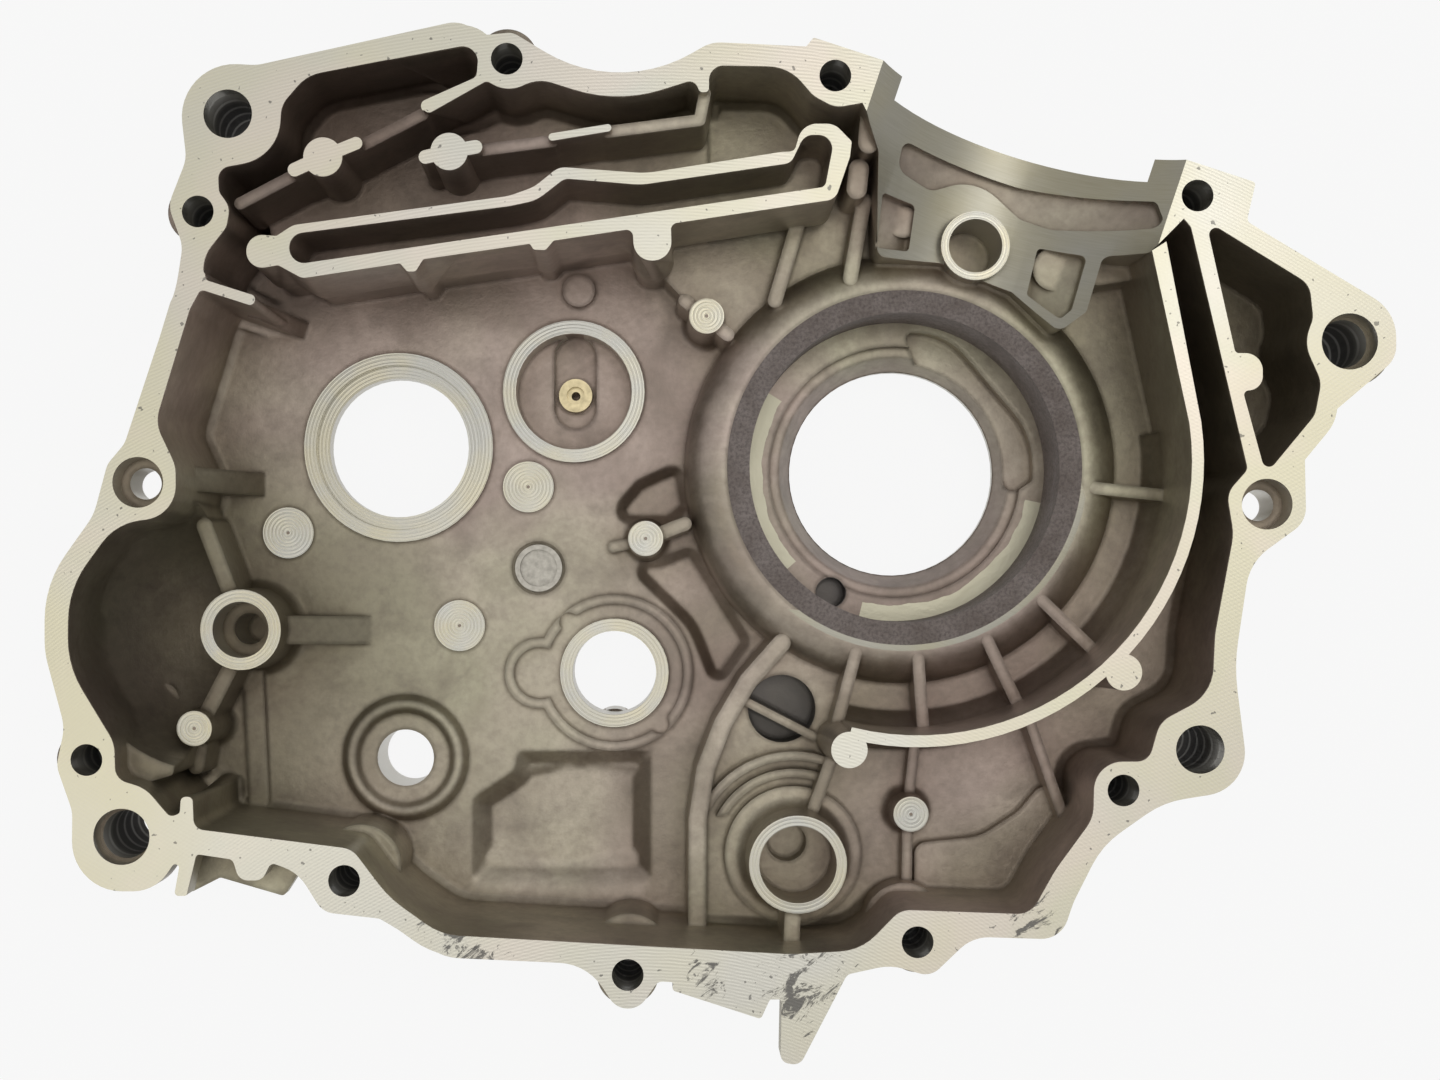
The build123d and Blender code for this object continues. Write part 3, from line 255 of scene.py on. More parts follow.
class NodeSheet:
    """Short-hand for laying out a material's nodes."""

    def __init__(self, name):
        self.material = bpy.data.materials.new(name)
        self.material.use_nodes = True
        self.tree = self.material.node_tree
        self.tree.nodes.clear()
        self.output = self.tree.nodes.new("ShaderNodeOutputMaterial")

    def add(self, kind, settings=None, **inputs):
        """Adds a node, sets its properties, and feeds its inputs with numbers or sockets."""
        node = self.tree.nodes.new("ShaderNode" + kind)
        for key, value in (settings or {}).items():
            setattr(node, key, value)
        for key, value in inputs.items():
            self.feed(node, key, value)
        return node

    def feed(self, node, key, value):
        """Sets or links one input, named with underscores for spaces or by its number."""
        place = int(key[1:]) if key[0] == "i" and key[1:].isdigit() else key.replace("_", " ")
        socket = node.inputs[place]
        if isinstance(value, bpy.types.NodeSocket):
            self.tree.links.new(value, socket)
        else:
            socket.default_value = value

    def math(self, operation, first, second=0.0, clamp=False):
        """One number worked out from two."""
        node = self.add("Math", {"operation": operation, "use_clamp": clamp}, i0=first, i1=second)
        return node.outputs[0]

    def mix(self, factor, first, second, blend="MIX"):
        """A colour between two colours."""
        node = self.add("Mix", {"data_type": "RGBA", "blend_type": blend})
        self.feed(node, "i0", factor)
        self.feed(node, "i6", first)
        self.feed(node, "i7", second)
        return node.outputs[2]

    def noise(self, coordinates, scale, detail=3.0, roughness=0.5, distortion=0.0):
        """Grey noise at a scale per metre."""
        node = self.add(
            "TexNoise",
            Vector=coordinates,
            Scale=scale,
            Detail=detail,
            Roughness=roughness,
            Distortion=distortion,
        )
        return node.outputs["Fac"]

    def ramp(self, value, low, high):
        """Stretches the part of a number between two limits to 0 and 1."""
        node = self.add("MapRange", Value=value, From_Min=low, From_Max=high)
        return node.outputs[0]

    def between(self, value, low, high):
        """Runs from one limit to the other while a number runs from 0 to 1."""
        node = self.add("MapRange", Value=value, To_Min=low, To_Max=high)
        return node.outputs[0]

    def vector(self, operation, first, second=(0, 0, 0), result="Vector"):
        """One vector or number worked out from two vectors."""
        node = self.add("VectorMath", {"operation": operation}, i0=first, i1=second)
        return node.outputs[result]

    def shader(self, **inputs):
        """Principled surface wired to the output."""
        surface = self.add("BsdfPrincipled", **inputs)
        self.tree.links.new(surface.outputs[0], self.output.inputs[0])
        return surface


def opaque(colour):
    """Colour with full alpha, as a node socket takes it."""
    return (*colour, 1)


def nearness(sheet, place, spots):
    """One at the middle of each spot on the floor plan, falling to zero at its radius."""
    near = 0.0
    plan = sheet.vector("MULTIPLY", place, ON_PLAN)
    for centre, radius in spots:
        away = sheet.vector("DISTANCE", plan, (*centre, 0), "Value")
        near = sheet.math("MAXIMUM", sheet.ramp(away, radius, SPOT_CORE * radius), near)
    return near


def cast_surface(sheet, place, colours):
    """Colour, roughness and bump of the cast skin, with painted shade in its corners, in the shade zones
    and deep in the wells.
    """
    blotch = sheet.noise(place, scale=34.0, detail=5.0, roughness=0.58, distortion=0.7)
    cloud = sheet.noise(place, scale=11.0, detail=3.0, roughness=0.5, distortion=0.5)
    stain = sheet.noise(place, scale=75.0, detail=5.0, roughness=0.62, distortion=0.3)
    grain = sheet.noise(place, scale=1900.0, detail=2.0, roughness=0.6)
    pits = sheet.noise(place, scale=520.0, detail=3.0, roughness=0.6)
    base = sheet.mix(sheet.ramp(blotch, 0.34, 0.64), opaque(colours.cast_dark), opaque(colours.cast))
    tint = sheet.mix(sheet.ramp(cloud, 0.38, 0.60), opaque(colours.olive_tint), opaque(colours.pink_tint))
    base = sheet.mix(1.0, base, tint, "MULTIPLY")
    stained = sheet.math("MULTIPLY", sheet.ramp(stain, 0.50, 0.70), 0.45)
    base = sheet.mix(stained, base, opaque(colours.stain))
    speckle = sheet.math("MULTIPLY", sheet.ramp(pits, 0.40, 0.75), 0.30)
    base = sheet.mix(speckle, base, opaque(colours.stain))
    # Painted shade: mottled darkening of the cast skin in the shade zones.
    shade_zone_mask = sheet.math("MULTIPLY", nearness(sheet, place, SHADE_ZONES), sheet.ramp(blotch, 0.18, 0.48))
    shade_zone_colour = sheet.mix(1.0, base, opaque(colours.shade_zone_tint), "MULTIPLY")
    base = sheet.mix(shade_zone_mask, base, shade_zone_colour)
    # Painted shade: ambient occlusion darkens the cast skin towards its corners and roots.
    corner = sheet.add(
        "AmbientOcclusion", {"samples": 6, "only_local": True}, Distance=colours.corner_shade_reach
    )
    deep = sheet.mix(1.0, base, opaque(colours.corner_shade_tint), "MULTIPLY")
    base = sheet.mix(sheet.ramp(corner.outputs["AO"], 0.30, 0.92), deep, base)
    # Painted shade: the drain and oil well are painted dark below their shade level.
    sunk = sheet.math("LESS_THAN", sheet.add("SeparateXYZ", Vector=place).outputs["Z"], WELL_SHADE_LEVEL)
    inside = sheet.math("GREATER_THAN", nearness(sheet, place, WELLS), 0.0)
    well_shade = sheet.math("MULTIPLY", sunk, inside)
    base = sheet.mix(sheet.math("MULTIPLY", well_shade, 0.85), base, opaque(colours.scuff_and_shade))
    rough = sheet.between(blotch, 0.30, 0.54)
    round_edge = sheet.add("Bevel", {"samples": 3}, Radius=colours.edge_round)
    bump = sheet.add("Bump", Strength=0.20, Distance=0.0003, Height=pits, Normal=round_edge.outputs[0])
    bump = sheet.add("Bump", Strength=0.28, Distance=0.00008, Height=grain, Normal=bump.outputs[0])
    return base, rough, bump.outputs[0]


def cast_material(colours):
    """As-cast aluminium: blotchy warm grey skin with fine grain and soft edges."""
    sheet = NodeSheet("cast_skin")
    place = sheet.add("TexCoord").outputs["Object"]
    base, rough, normal = cast_surface(sheet, place, colours)
    sheet.shader(Base_Color=base, Metallic=0.60, Roughness=rough, Normal=normal)
    return sheet.material


def shoulder_material(colours):
    """Bearing shoulder: cast, with warm bright crescents where the boring tool has cut it."""
    sheet = NodeSheet("seat_shoulder")
    place = sheet.add("TexCoord").outputs["Object"]
    base, rough, normal = cast_surface(sheet, place, colours)
    parts = sheet.add("SeparateXYZ", Vector=place)
    flat = sheet.vector("MULTIPLY", place, ON_PLAN)
    reach = sheet.vector("LENGTH", flat, result="Value")
    waver = sheet.math("SUBTRACT", sheet.noise(place, scale=160.0, detail=3.0), 0.5)
    wobble = sheet.math("MULTIPLY", waver, SHOULDER_CUT_WAVER)
    edge = sheet.math("ADD", reach, wobble)
    outside = sheet.math("GREATER_THAN", edge, SHOULDER_CUT_R)
    turn = sheet.math("ARCTAN2", parts.outputs["Y"], parts.outputs["X"])
    cut = 0.0
    for start, end in SHOULDER_CUTS:
        past_start = sheet.math("GREATER_THAN", turn, start)
        before_end = sheet.math("LESS_THAN", turn, end)
        window = sheet.math("MULTIPLY", past_start, before_end)
        cut = sheet.math("MAXIMUM", window, cut)
    cut = sheet.math("MULTIPLY", cut, outside)
    base = sheet.mix(cut, base, opaque(colours.milled_warm))
    sheet.shader(Base_Color=base, Metallic=0.60, Roughness=rough, Normal=normal)
    return sheet.material


def milling_arcs(sheet, place, centre, scale):
    """Grey arcs that a wide cutter leaves about a far centre on the floor plan."""
    shifted = sheet.vector("SUBTRACT", place, (*centre, 0))
    wave = sheet.add(
        "TexWave",
        {"wave_type": "RINGS", "rings_direction": "Z", "wave_profile": "SIN"},
        Vector=shifted,
        Scale=scale,
        Distortion=1.6,
        Detail=2.0,
        Detail_Scale=0.6,
    )
    return wave.outputs["Fac"]


def milled_material(colours):
    """Face-milled aluminium: crossing cutter arcs on a pale warm metal, with scuffs."""
    sheet = NodeSheet("milled_face")
    place = sheet.add("TexCoord").outputs["Object"]
    wobble = sheet.noise(place, scale=22.0, detail=2.0)
    fine = sheet.noise(place, scale=1600.0, detail=2.0)
    front = milling_arcs(sheet, place, FRONT_CUTTER, FRONT_CUTTER_DENSITY)
    back = milling_arcs(sheet, place, BACK_CUTTER, BACK_CUTTER_DENSITY)
    arcs = sheet.math("ADD", sheet.math("MULTIPLY", front, 0.7), sheet.math("MULTIPLY", back, 0.3))
    base = sheet.mix(sheet.ramp(wobble, 0.38, 0.62), opaque(colours.milled), opaque(colours.milled_warm))
    ends = nearness(sheet, place, [(at, MOUNT_WEAR_REACH) for at in MOUNTS])
    cloud = sheet.noise(place, scale=30.0, detail=2.0, roughness=0.5, distortion=0.6)
    blush = sheet.math("MULTIPLY", sheet.ramp(cloud, 0.50, 0.68), 0.6)
    base = sheet.mix(blush, base, opaque(colours.milled_blush))
    depth = sheet.between(ends, 0.20, 0.48)
    base = sheet.mix(sheet.math("MULTIPLY", arcs, depth), base, opaque(colours.cast))
    dots = sheet.noise(place, scale=640.0, detail=2.0, roughness=0.4)
    specks = sheet.math("GREATER_THAN", dots, SPECK_LIMIT)
    base = sheet.mix(sheet.math("MULTIPLY", specks, 0.7), base, opaque(colours.scuff_and_shade))
    worn = nearness(sheet, place, SCUFFS)
    drawn = sheet.add(
        "Mapping",
        {"vector_type": "TEXTURE"},
        Vector=place,
        Rotation=(0, 0, SCUFF_TURN),
        Scale=(2.2, 1, 1),
    )
    scratch = sheet.noise(drawn.outputs[0], scale=330.0, detail=6.0, roughness=0.72, distortion=0.8)
    spread = sheet.math("ADD", scratch, sheet.between(worn, -SCUFF_THINNING, 0.0))
    marks = sheet.math("MULTIPLY", sheet.ramp(spread, 0.50, 0.55), sheet.math("GREATER_THAN", worn, 0.02))
    base = sheet.mix(sheet.math("MULTIPLY", marks, 0.9), base, opaque(colours.scuff_and_shade))
    rough = sheet.between(wobble, 0.27, 0.43)
    bump = sheet.add("Bump", Strength=0.2, Distance=0.00006, Height=arcs)
    bump = sheet.add("Bump", Strength=0.10, Distance=0.00003, Height=fine, Normal=bump.outputs[0])
    bump = sheet.add("Bump", Strength=0.5, Distance=-0.0001, Height=marks, Normal=bump.outputs[0])
    sheet.shader(Base_Color=base, Metallic=0.88, Roughness=rough, Normal=bump.outputs[0])
    return sheet.material


def spigot_material(colours):
    """Bored cylinder seat: fine lines round the cylinder axis and a stretched gleam."""
    sheet = NodeSheet("spigot_wall")
    spot = sheet.add("TexCoord")
    place = spot.outputs["Object"]
    axis = (cos(SPIGOT_ANGLE), sin(SPIGOT_ANGLE), 0)
    along = sheet.vector("DOT_PRODUCT", place, axis, "Value")
    lines = sheet.math("SINE", sheet.math("MULTIPLY", along, FEED_LINES))
    streak = sheet.add(
        "Mapping",
        {"vector_type": "TEXTURE"},
        Vector=place,
        Rotation=(0, 0, SPIGOT_ANGLE),
        Scale=(1, 40, 40),
    )
    grooves = sheet.noise(streak.outputs[0], scale=5200.0, detail=2.0)
    around = sheet.vector("CROSS_PRODUCT", axis, spot.outputs["Normal"])
    sheen = sheet.noise(place, scale=45.0, detail=2.0)
    base = sheet.mix(sheet.ramp(sheen, 0.35, 0.65), opaque(colours.bored), opaque(colours.bored_warm))
    bright = sheet.math("MULTIPLY", sheet.ramp(grooves, 0.3, 0.7), 0.12)
    base = sheet.mix(bright, base, opaque(colours.milled))
    height = sheet.math("ADD", sheet.math("MULTIPLY", lines, 0.4), grooves)
    bump = sheet.add("Bump", Strength=0.08, Distance=0.00003, Height=height)
    sheet.shader(
        Base_Color=base,
        Metallic=0.9,
        Roughness=0.28,
        Anisotropic=0.7,
        Tangent=around,
        Normal=bump.outputs[0],
    )
    return sheet.material


def turned_material(colours):
    """Turned aluminium: rings about the centre stored with each face."""
    sheet = NodeSheet("turned_face")
    place = sheet.add("TexCoord").outputs["Object"]
    centre = sheet.add("Attribute", {"attribute_name": "turn_centre"}).outputs["Vector"]
    flat = sheet.vector("MULTIPLY", sheet.vector("SUBTRACT", place, centre), ON_PLAN)
    reach = sheet.vector("LENGTH", flat, result="Value")
    rings = sheet.math("SINE", sheet.math("MULTIPLY", reach, TURNED_RINGS))
    fine = sheet.math("SINE", sheet.math("MULTIPLY", reach, TURNED_FINE_RINGS))
    along = sheet.vector("CROSS_PRODUCT", (0, 0, 1), flat)
    wobble = sheet.noise(place, scale=90.0, detail=2.0)
    base = sheet.mix(sheet.ramp(wobble, 0.35, 0.65), opaque(colours.turned), opaque(colours.turned_warm))
    groove = sheet.math("MULTIPLY", sheet.ramp(rings, -1.0, 1.0), 0.14)
    base = sheet.mix(groove, base, opaque(colours.cast))
    base = sheet.mix(sheet.math("LESS_THAN", reach, CENTRE_DOT_R), base, opaque(colours.stain))
    height = sheet.math("ADD", rings, sheet.math("MULTIPLY", fine, 0.4))
    bump = sheet.add("Bump", Strength=0.18, Distance=0.00006, Height=height)
    rough = sheet.between(groove, 0.26, 0.56)
    sheet.shader(
        Base_Color=base,
        Metallic=0.9,
        Roughness=rough,
        Anisotropic=0.65,
        Tangent=along,
        Normal=bump.outputs[0],
    )
    return sheet.material


def bored_material(colours):
    """Bored hole walls: fine feed lines along the axis, with painted shade deep in the narrow holes,
    broken by painted highlight rings.
    """
    sheet = NodeSheet("bored_wall")
    place = sheet.add("TexCoord").outputs["Object"]
    parts = sheet.add("SeparateXYZ", Vector=place)
    feed = sheet.math("SINE", sheet.math("MULTIPLY", parts.outputs["Z"], FEED_LINES))
    wobble = sheet.noise(place, scale=120.0, detail=2.0)
    base = sheet.mix(sheet.ramp(wobble, 0.35, 0.65), opaque(colours.milled), opaque(colours.cast))
    # Painted shade: the narrow holes darken with depth, broken by painted highlight rings at the thread
    # steps.
    deep = sheet.ramp(parts.outputs["Z"], HOLE_SHADE_START, HOLE_SHADE_END)
    steps = sheet.math("SINE", sheet.math("MULTIPLY", parts.outputs["Z"], STEP_LINES))
    gleams = sheet.math("MULTIPLY", sheet.ramp(steps, 0.5, 0.9), 0.35)
    holes = nearness(sheet, place, [(at, BOLT_HOLE_REACH) for at in BOLT_HOLES])
    narrow = sheet.math("GREATER_THAN", holes, 0.0)
    dark = sheet.math("MULTIPLY", sheet.math("SUBTRACT", deep, gleams, clamp=True), narrow)
    base = sheet.mix(sheet.math("MULTIPLY", dark, 0.95), base, opaque(colours.scuff_and_shade))
    bump = sheet.add("Bump", Strength=0.18, Distance=0.00005, Height=feed)
    rough = sheet.between(dark, 0.33, 0.83)
    metallic = sheet.between(dark, 0.85, 0.15)
    sheet.shader(Base_Color=base, Metallic=metallic, Roughness=rough, Normal=bump.outputs[0])
    return sheet.material


def iron_material(colours):
    """Rough grey iron with a purple-brown skin."""
    sheet = NodeSheet("ring_skin")
    place = sheet.add("TexCoord").outputs["Object"]
    grit = sheet.noise(place, scale=1300.0, detail=3.0, roughness=0.65)
    patch = sheet.noise(place, scale=130.0, detail=4.0, roughness=0.6)
    base = sheet.mix(sheet.ramp(patch, 0.35, 0.65), opaque(colours.iron), opaque(colours.iron_light))
    grains = sheet.math("MULTIPLY", sheet.ramp(grit, 0.42, 0.70), 0.6)
    base = sheet.mix(grains, base, opaque(colours.iron_grit))
    bump = sheet.add("Bump", Strength=0.8, Distance=0.0003, Height=grit)
    sheet.shader(Base_Color=base, Metallic=0.25, Roughness=0.62, Normal=bump.outputs[0])
    return sheet.material


def plain_metal(name, colour, roughness):
    """Turned or pressed small metal piece with slight mottling."""
    sheet = NodeSheet(name)
    place = sheet.add("TexCoord").outputs["Object"]
    mottle = sheet.noise(place, scale=700.0, detail=3.0)
    dark = tuple(0.7 * value for value in colour)
    base = sheet.mix(sheet.ramp(mottle, 0.35, 0.7), opaque(colour), opaque(dark))
    bump = sheet.add("Bump", Strength=0.25, Distance=0.00006, Height=mottle)
    sheet.shader(Base_Color=base, Metallic=1.0, Roughness=roughness, Normal=bump.outputs[0])
    return sheet.material


def studio_white(name, colour, glow):
    """Pale floor that is white to the camera and in metal, and keeps a faint shadow."""
    sheet = NodeSheet(name)
    light = sheet.add("LightPath")
    seen = sheet.math("MAXIMUM", light.outputs["Is Camera Ray"], light.outputs["Is Transmission Ray"])
    seen = sheet.math("MAXIMUM", seen, light.outputs["Is Glossy Ray"])
    diffuse = sheet.add("BsdfDiffuse", Color=opaque(colour))
    shine = sheet.add("Emission", Color=(1, 1, 1, 1), Strength=glow)
    veil = sheet.add("MixShader", Fac=sheet.math("MULTIPLY", seen, FLOOR_VEIL))
    sheet.tree.links.new(diffuse.outputs[0], veil.inputs[1])
    sheet.tree.links.new(shine.outputs[0], veil.inputs[2])
    sheet.tree.links.new(veil.outputs[0], sheet.output.inputs[0])
    return sheet.material


def merged_copy(node_name, new_name):
    """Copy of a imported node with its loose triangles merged."""
    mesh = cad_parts[node_name].data.copy()
    mesh.materials.clear()
    if "custom_normal" in mesh.attributes:
        mesh.attributes.remove(mesh.attributes["custom_normal"])
    shape = bmesh.new()
    shape.from_mesh(mesh)
    bmesh.ops.remove_doubles(shape, verts=shape.verts, dist=1e-6)
    shape.to_mesh(mesh)
    shape.free()
    piece = bpy.data.objects.new(new_name, mesh)
    bpy.context.scene.collection.objects.link(piece)
    return piece


def finish_piece(piece, node_name):
    """Shades a finished piece, lets it ride on the case and stand for its node."""
    mesh = piece.data
    mesh.shade_smooth()
    mesh.set_sharp_from_angle(angle=SHARP_ANGLE)
    weights = piece.modifiers.new("Weighted normals", "WEIGHTED_NORMAL")
    weights.keep_sharp = True
    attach(piece, "root")
    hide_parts(node_name)


def close_to(value, target):
    """Tests one level."""
    return abs(value - target) < LEVEL_SLACK


def plan_distance(point, centre):
    """Distance between two places on the floor plan."""
    return Vector((point.x - centre[0], point.y - centre[1])).length


def on_spigot(middle, normal):
    """Tests whether a face belongs to the machined cylinder spigot or its deck."""
    along = middle.x * cos(SPIGOT_ANGLE) + middle.y * sin(SPIGOT_ANGLE)
    across = middle.y * cos(SPIGOT_ANGLE) - middle.x * sin(SPIGOT_ANGLE)
    beside_deck = abs(along - DECK_DISTANCE) < DECK_SLACK and abs(across) < DECK_HALF_WIDTH
    if beside_deck and normal.z < DECK_LEAN:
        return True
    radius = Vector((across, middle.z - SPIGOT_HEIGHT)).length
    beside_spigot = along > SPIGOT_START and abs(across) < SPIGOT_HALF_WIDTH
    return beside_spigot and abs(radius - SPIGOT_R) < SPIGOT_SLACK


def in_turn(middle, limits):
    """Tests whether a place lies within a range of angles about the crank axis."""
    return limits[0] < atan2(middle.y, middle.x) < limits[1]


def level_finish(middle):
    """Finish of an upward flat face, and its turning centre."""
    level = middle.z
    if close_to(level, MATING_LEVEL):
        return "milled", None
    if any(close_to(level, target) for target in TURNED_LEVELS):
        for centre, reach in TURNED:
            if plan_distance(middle, centre) < reach:
                return "turned", centre
    from_crank = plan_distance(middle, CRANK)
    if close_to(level, SHOULDER_LEVEL) and from_crank < SHOULDER_R:
        return "shoulder", None
    if close_to(level, HUB_LEVEL) and from_crank < HUB_TOP_R and in_turn(middle, HUB_CUT):
        return "spigot", None
    return "cast", None


def face_finish(middle, normal):
    """Finish of one face of the casting, and the centre of its turning rings."""
    if on_spigot(middle, normal) and middle.z < MATING_LEVEL - SPIGOT_TOP_GAP:
        return "spigot", None
    if normal.z > LEVEL_NORMAL:
        return level_finish(middle)
    if normal.z < UNDER_NORMAL and close_to(middle.z, COVER_LEVEL):
        return "milled", None
    if abs(normal.z) < WALL_NORMAL:
        for centre, reach in BORES:
            inward = normal.x * (centre[0] - middle.x) + normal.y * (centre[1] - middle.y)
            if inward > 0 and plan_distance(middle, centre) < reach:
                return "bored", None
    return "cast", None


class CrankcaseSettings(bpy.types.PropertyGroup):
    """Colours and sizes of the looks that a user may change."""

    cast: FloatVectorProperty(
        name="Cast skin",
        description="Lighter colour of the cast skin",
        subtype="COLOR",
        default=(0.52, 0.495, 0.435),
    )
    cast_dark: FloatVectorProperty(
        name="Cast shade",
        description="Darker colour of the cast skin",
        subtype="COLOR",
        default=(0.30, 0.278, 0.235),
    )
    milled: FloatVectorProperty(
        name="Milled metal",
        description="Colour of the machined faces",
        subtype="COLOR",
        default=(0.515, 0.50, 0.445),
    )
    milled_warm: FloatVectorProperty(
        name="Warm tint",
        description="Yellower colour of machined faces",
        subtype="COLOR",
        default=(0.55, 0.52, 0.395),
    )
    milled_blush: FloatVectorProperty(
        name="Blush",
        description="Pinker tint of machined faces",
        subtype="COLOR",
        default=(0.60, 0.525, 0.465),
    )
    bored: FloatVectorProperty(
        name="Bored metal",
        description="Colour of the bored spigot",
        subtype="COLOR",
        default=(0.245, 0.235, 0.20),
    )
    bored_warm: FloatVectorProperty(
        name="Bored metal, warm",
        description="Olive tint of the spigot",
        subtype="COLOR",
        default=(0.255, 0.235, 0.17),
    )
    turned: FloatVectorProperty(
        name="Turned metal",
        description="Colour of the turned faces",
        subtype="COLOR",
        default=(0.37, 0.363, 0.33),
    )
    turned_warm: FloatVectorProperty(
        name="Turned metal, warm",
        description="Golden tint of turned faces",
        subtype="COLOR",
        default=(0.41, 0.38, 0.29),
    )
    olive_tint: FloatVectorProperty(
        name="Olive tint",
        description="Olive clouds of the cast skin",
        subtype="COLOR",
        default=(1.0, 0.99, 0.84),
    )
    pink_tint: FloatVectorProperty(
        name="Pink tint",
        description="Pink clouds of the cast skin",
        subtype="COLOR",
        default=(0.90, 0.77, 0.77),
    )
    stain: FloatVectorProperty(
        name="Stain",
        description="Brown stains and pits of the cast skin",
        subtype="COLOR",
        default=(0.17, 0.14, 0.115),
    )
    # Dark colour of the real scuffs and specks on the mating face, also used as painted shade deep in the
    # wells and narrow holes.
    scuff_and_shade: FloatVectorProperty(
        name="Scuff",
        description="Dark scuffs on the mating face",
        subtype="COLOR",
        default=(0.10, 0.095, 0.09),
    )
    iron: FloatVectorProperty(
        name="Ring iron",
        description="Colour of the iron ring",
        subtype="COLOR",
        default=(0.20, 0.165, 0.15),
    )
    iron_light: FloatVectorProperty(
        name="Ring iron, light",
        description="Worn colour of the iron ring",
        subtype="COLOR",
        default=(0.29, 0.25, 0.235),
    )
    iron_grit: FloatVectorProperty(
        name="Iron grit",
        description="Dark grains of the iron ring",
        subtype="COLOR",
        default=(0.055, 0.042, 0.038),
    )
    brass: FloatVectorProperty(
        name="Jet brass", description="Colour of the oil jet", subtype="COLOR", default=(0.52, 0.44, 0.27)
    )
    steel: FloatVectorProperty(
        name="Plug steel",
        description="Colour of the cup plug",
        subtype="COLOR",
        default=(0.36, 0.34, 0.30),
    )
    edge_round: FloatProperty(
        name="Edge rounding",
        description="Apparent radius of cast edges and roots",
        unit="LENGTH",
        default=0.0016,
    )
    # Painted shade: tint of the darkened zones of the cast skin.
    shade_zone_tint: FloatVectorProperty(
        name="Oil film",
        description="Tint of the oil-darkened zones",
        subtype="COLOR",
        default=(0.42, 0.39, 0.36),
    )
    # Painted shade: tint multiplied into the cast skin in its corners.
    corner_shade_tint: FloatVectorProperty(
        name="Corner soot",
        description="Tint of the residue in the corners",
        subtype="COLOR",
        default=(0.76, 0.72, 0.68),
    )
    # Reach of the painted corner shade.
    corner_shade_reach: FloatProperty(
        name="Corner reach", description="How far the residue spreads", unit="LENGTH", default=0.022
    )


class StudioSettings(bpy.types.PropertyGroup):
    """Floor, light and camera."""

    floor_size: FloatProperty(
        name="Floor size",
        description="Side of the floor",
        unit="LENGTH",
        default=6.0,
    )
    floor_colour: FloatVectorProperty(
        name="Floor", description="Colour of the floor", subtype="COLOR", default=(0.80, 0.80, 0.80)
    )
    floor_glow: FloatProperty(
        name="Floor white",
        description="White level of the background",
        default=0.985,
    )
    main_power: FloatProperty(
        name="Overhead light",
        description="Power of the overhead light",
        unit="POWER",
        default=1.15,
    )
    side_power: FloatProperty(
        name="Gleam light",
        description="Power of the light that gleams on the spigot",
        unit="POWER",
        default=0.85,
    )
    warm_power: FloatProperty(
        name="Warm lights",
        description="Power of each warm side light",
        unit="POWER",
        default=0.4,
    )
    warm_colour: FloatVectorProperty(
        name="Warm light colour",
        description="Colour of the side lights",
        subtype="COLOR",
        default=(1.0, 0.95, 0.76),
    )
    room_white: FloatProperty(
        name="Room white",
        description="White level of the room behind the floor",
        default=0.93,
    )
    room_light: FloatProperty(name="Room light", description="Strength of the room's light", default=0.28)
    lens: FloatProperty(
        name="Lens",
        description="Focal length in millimetres",
        unit="CAMERA",
        default=45.45,
    )
    shift_x: FloatProperty(name="Shift X", description="Sideways shift of the picture", default=0.0417)
    shift_y: FloatProperty(name="Shift Y", description="Upward shift of the picture", default=0.0278)


class CRANKCASE_OT_casting(bpy.types.Operator):
    """Gives the casting its cast, milled, turned and bored finishes"""

    bl_idname = "crankcase.casting"
    bl_label = "Casting"

    def execute(self, context):
        settings = context.scene.crankcase
        piece = merged_copy("case_half", "casting")
        mesh = piece.data
        finishes = ["cast", "milled", "turned", "bored", "spigot", "shoulder"]
        materials = [
            cast_material(settings),
            milled_material(settings),
            turned_material(settings),
            bored_material(settings),
            spigot_material(settings),
            shoulder_material(settings),
        ]
        for material in materials:
            mesh.materials.append(material)
        found = [face_finish(face.center, face.normal) for face in mesh.polygons]
        mesh.polygons.foreach_set("material_index", [finishes.index(name) for name, _ in found])
        centres = mesh.attributes.new("turn_centre", "FLOAT_VECTOR", "FACE")
        flat = [value for _, at in found for value in (*(at or CRANK), 0.0)]
        centres.data.foreach_set("vector", flat)
        finish_piece(piece, "case_half")
        return {"FINISHED"}


class CRANKCASE_OT_island(bpy.types.Operator):
    """Stands the round middle of the front breather island on its rib"""

    bl_idname = "crankcase.island"
    bl_label = "Island disc"

    def execute(self, context):
        foot = ISLAND_FOOT - ISLAND_SINK
        top = MATING_LEVEL + ISLAND_PROUD
        spread = (top - foot) * tan(ISLAND_DRAFT)
        shape = bmesh.new()
        bmesh.ops.create_cone(
            shape,
            cap_ends=True,
            segments=ISLAND_SIDES,
            radius1=ISLAND_R + spread,
            radius2=ISLAND_R,
            depth=top - foot,
        )
        bmesh.ops.translate(shape, verts=shape.verts, vec=(*ISLAND, (top + foot) / 2))
        mesh = bpy.data.meshes.new("island_disc")
        shape.to_mesh(mesh)
        shape.free()
        mesh.materials.append(bpy.data.materials["cast_skin"])
        mesh.materials.append(bpy.data.materials["milled_face"])
        on_top = [int(face.normal.z > LEVEL_NORMAL) for face in mesh.polygons]
        mesh.polygons.foreach_set("material_index", on_top)
        disc = bpy.data.objects.new("island_disc", mesh)
        context.scene.collection.objects.link(disc)
        mesh.shade_smooth()
        mesh.set_sharp_from_angle(angle=SHARP_ANGLE)
        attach(disc, "root")
        return {"FINISHED"}


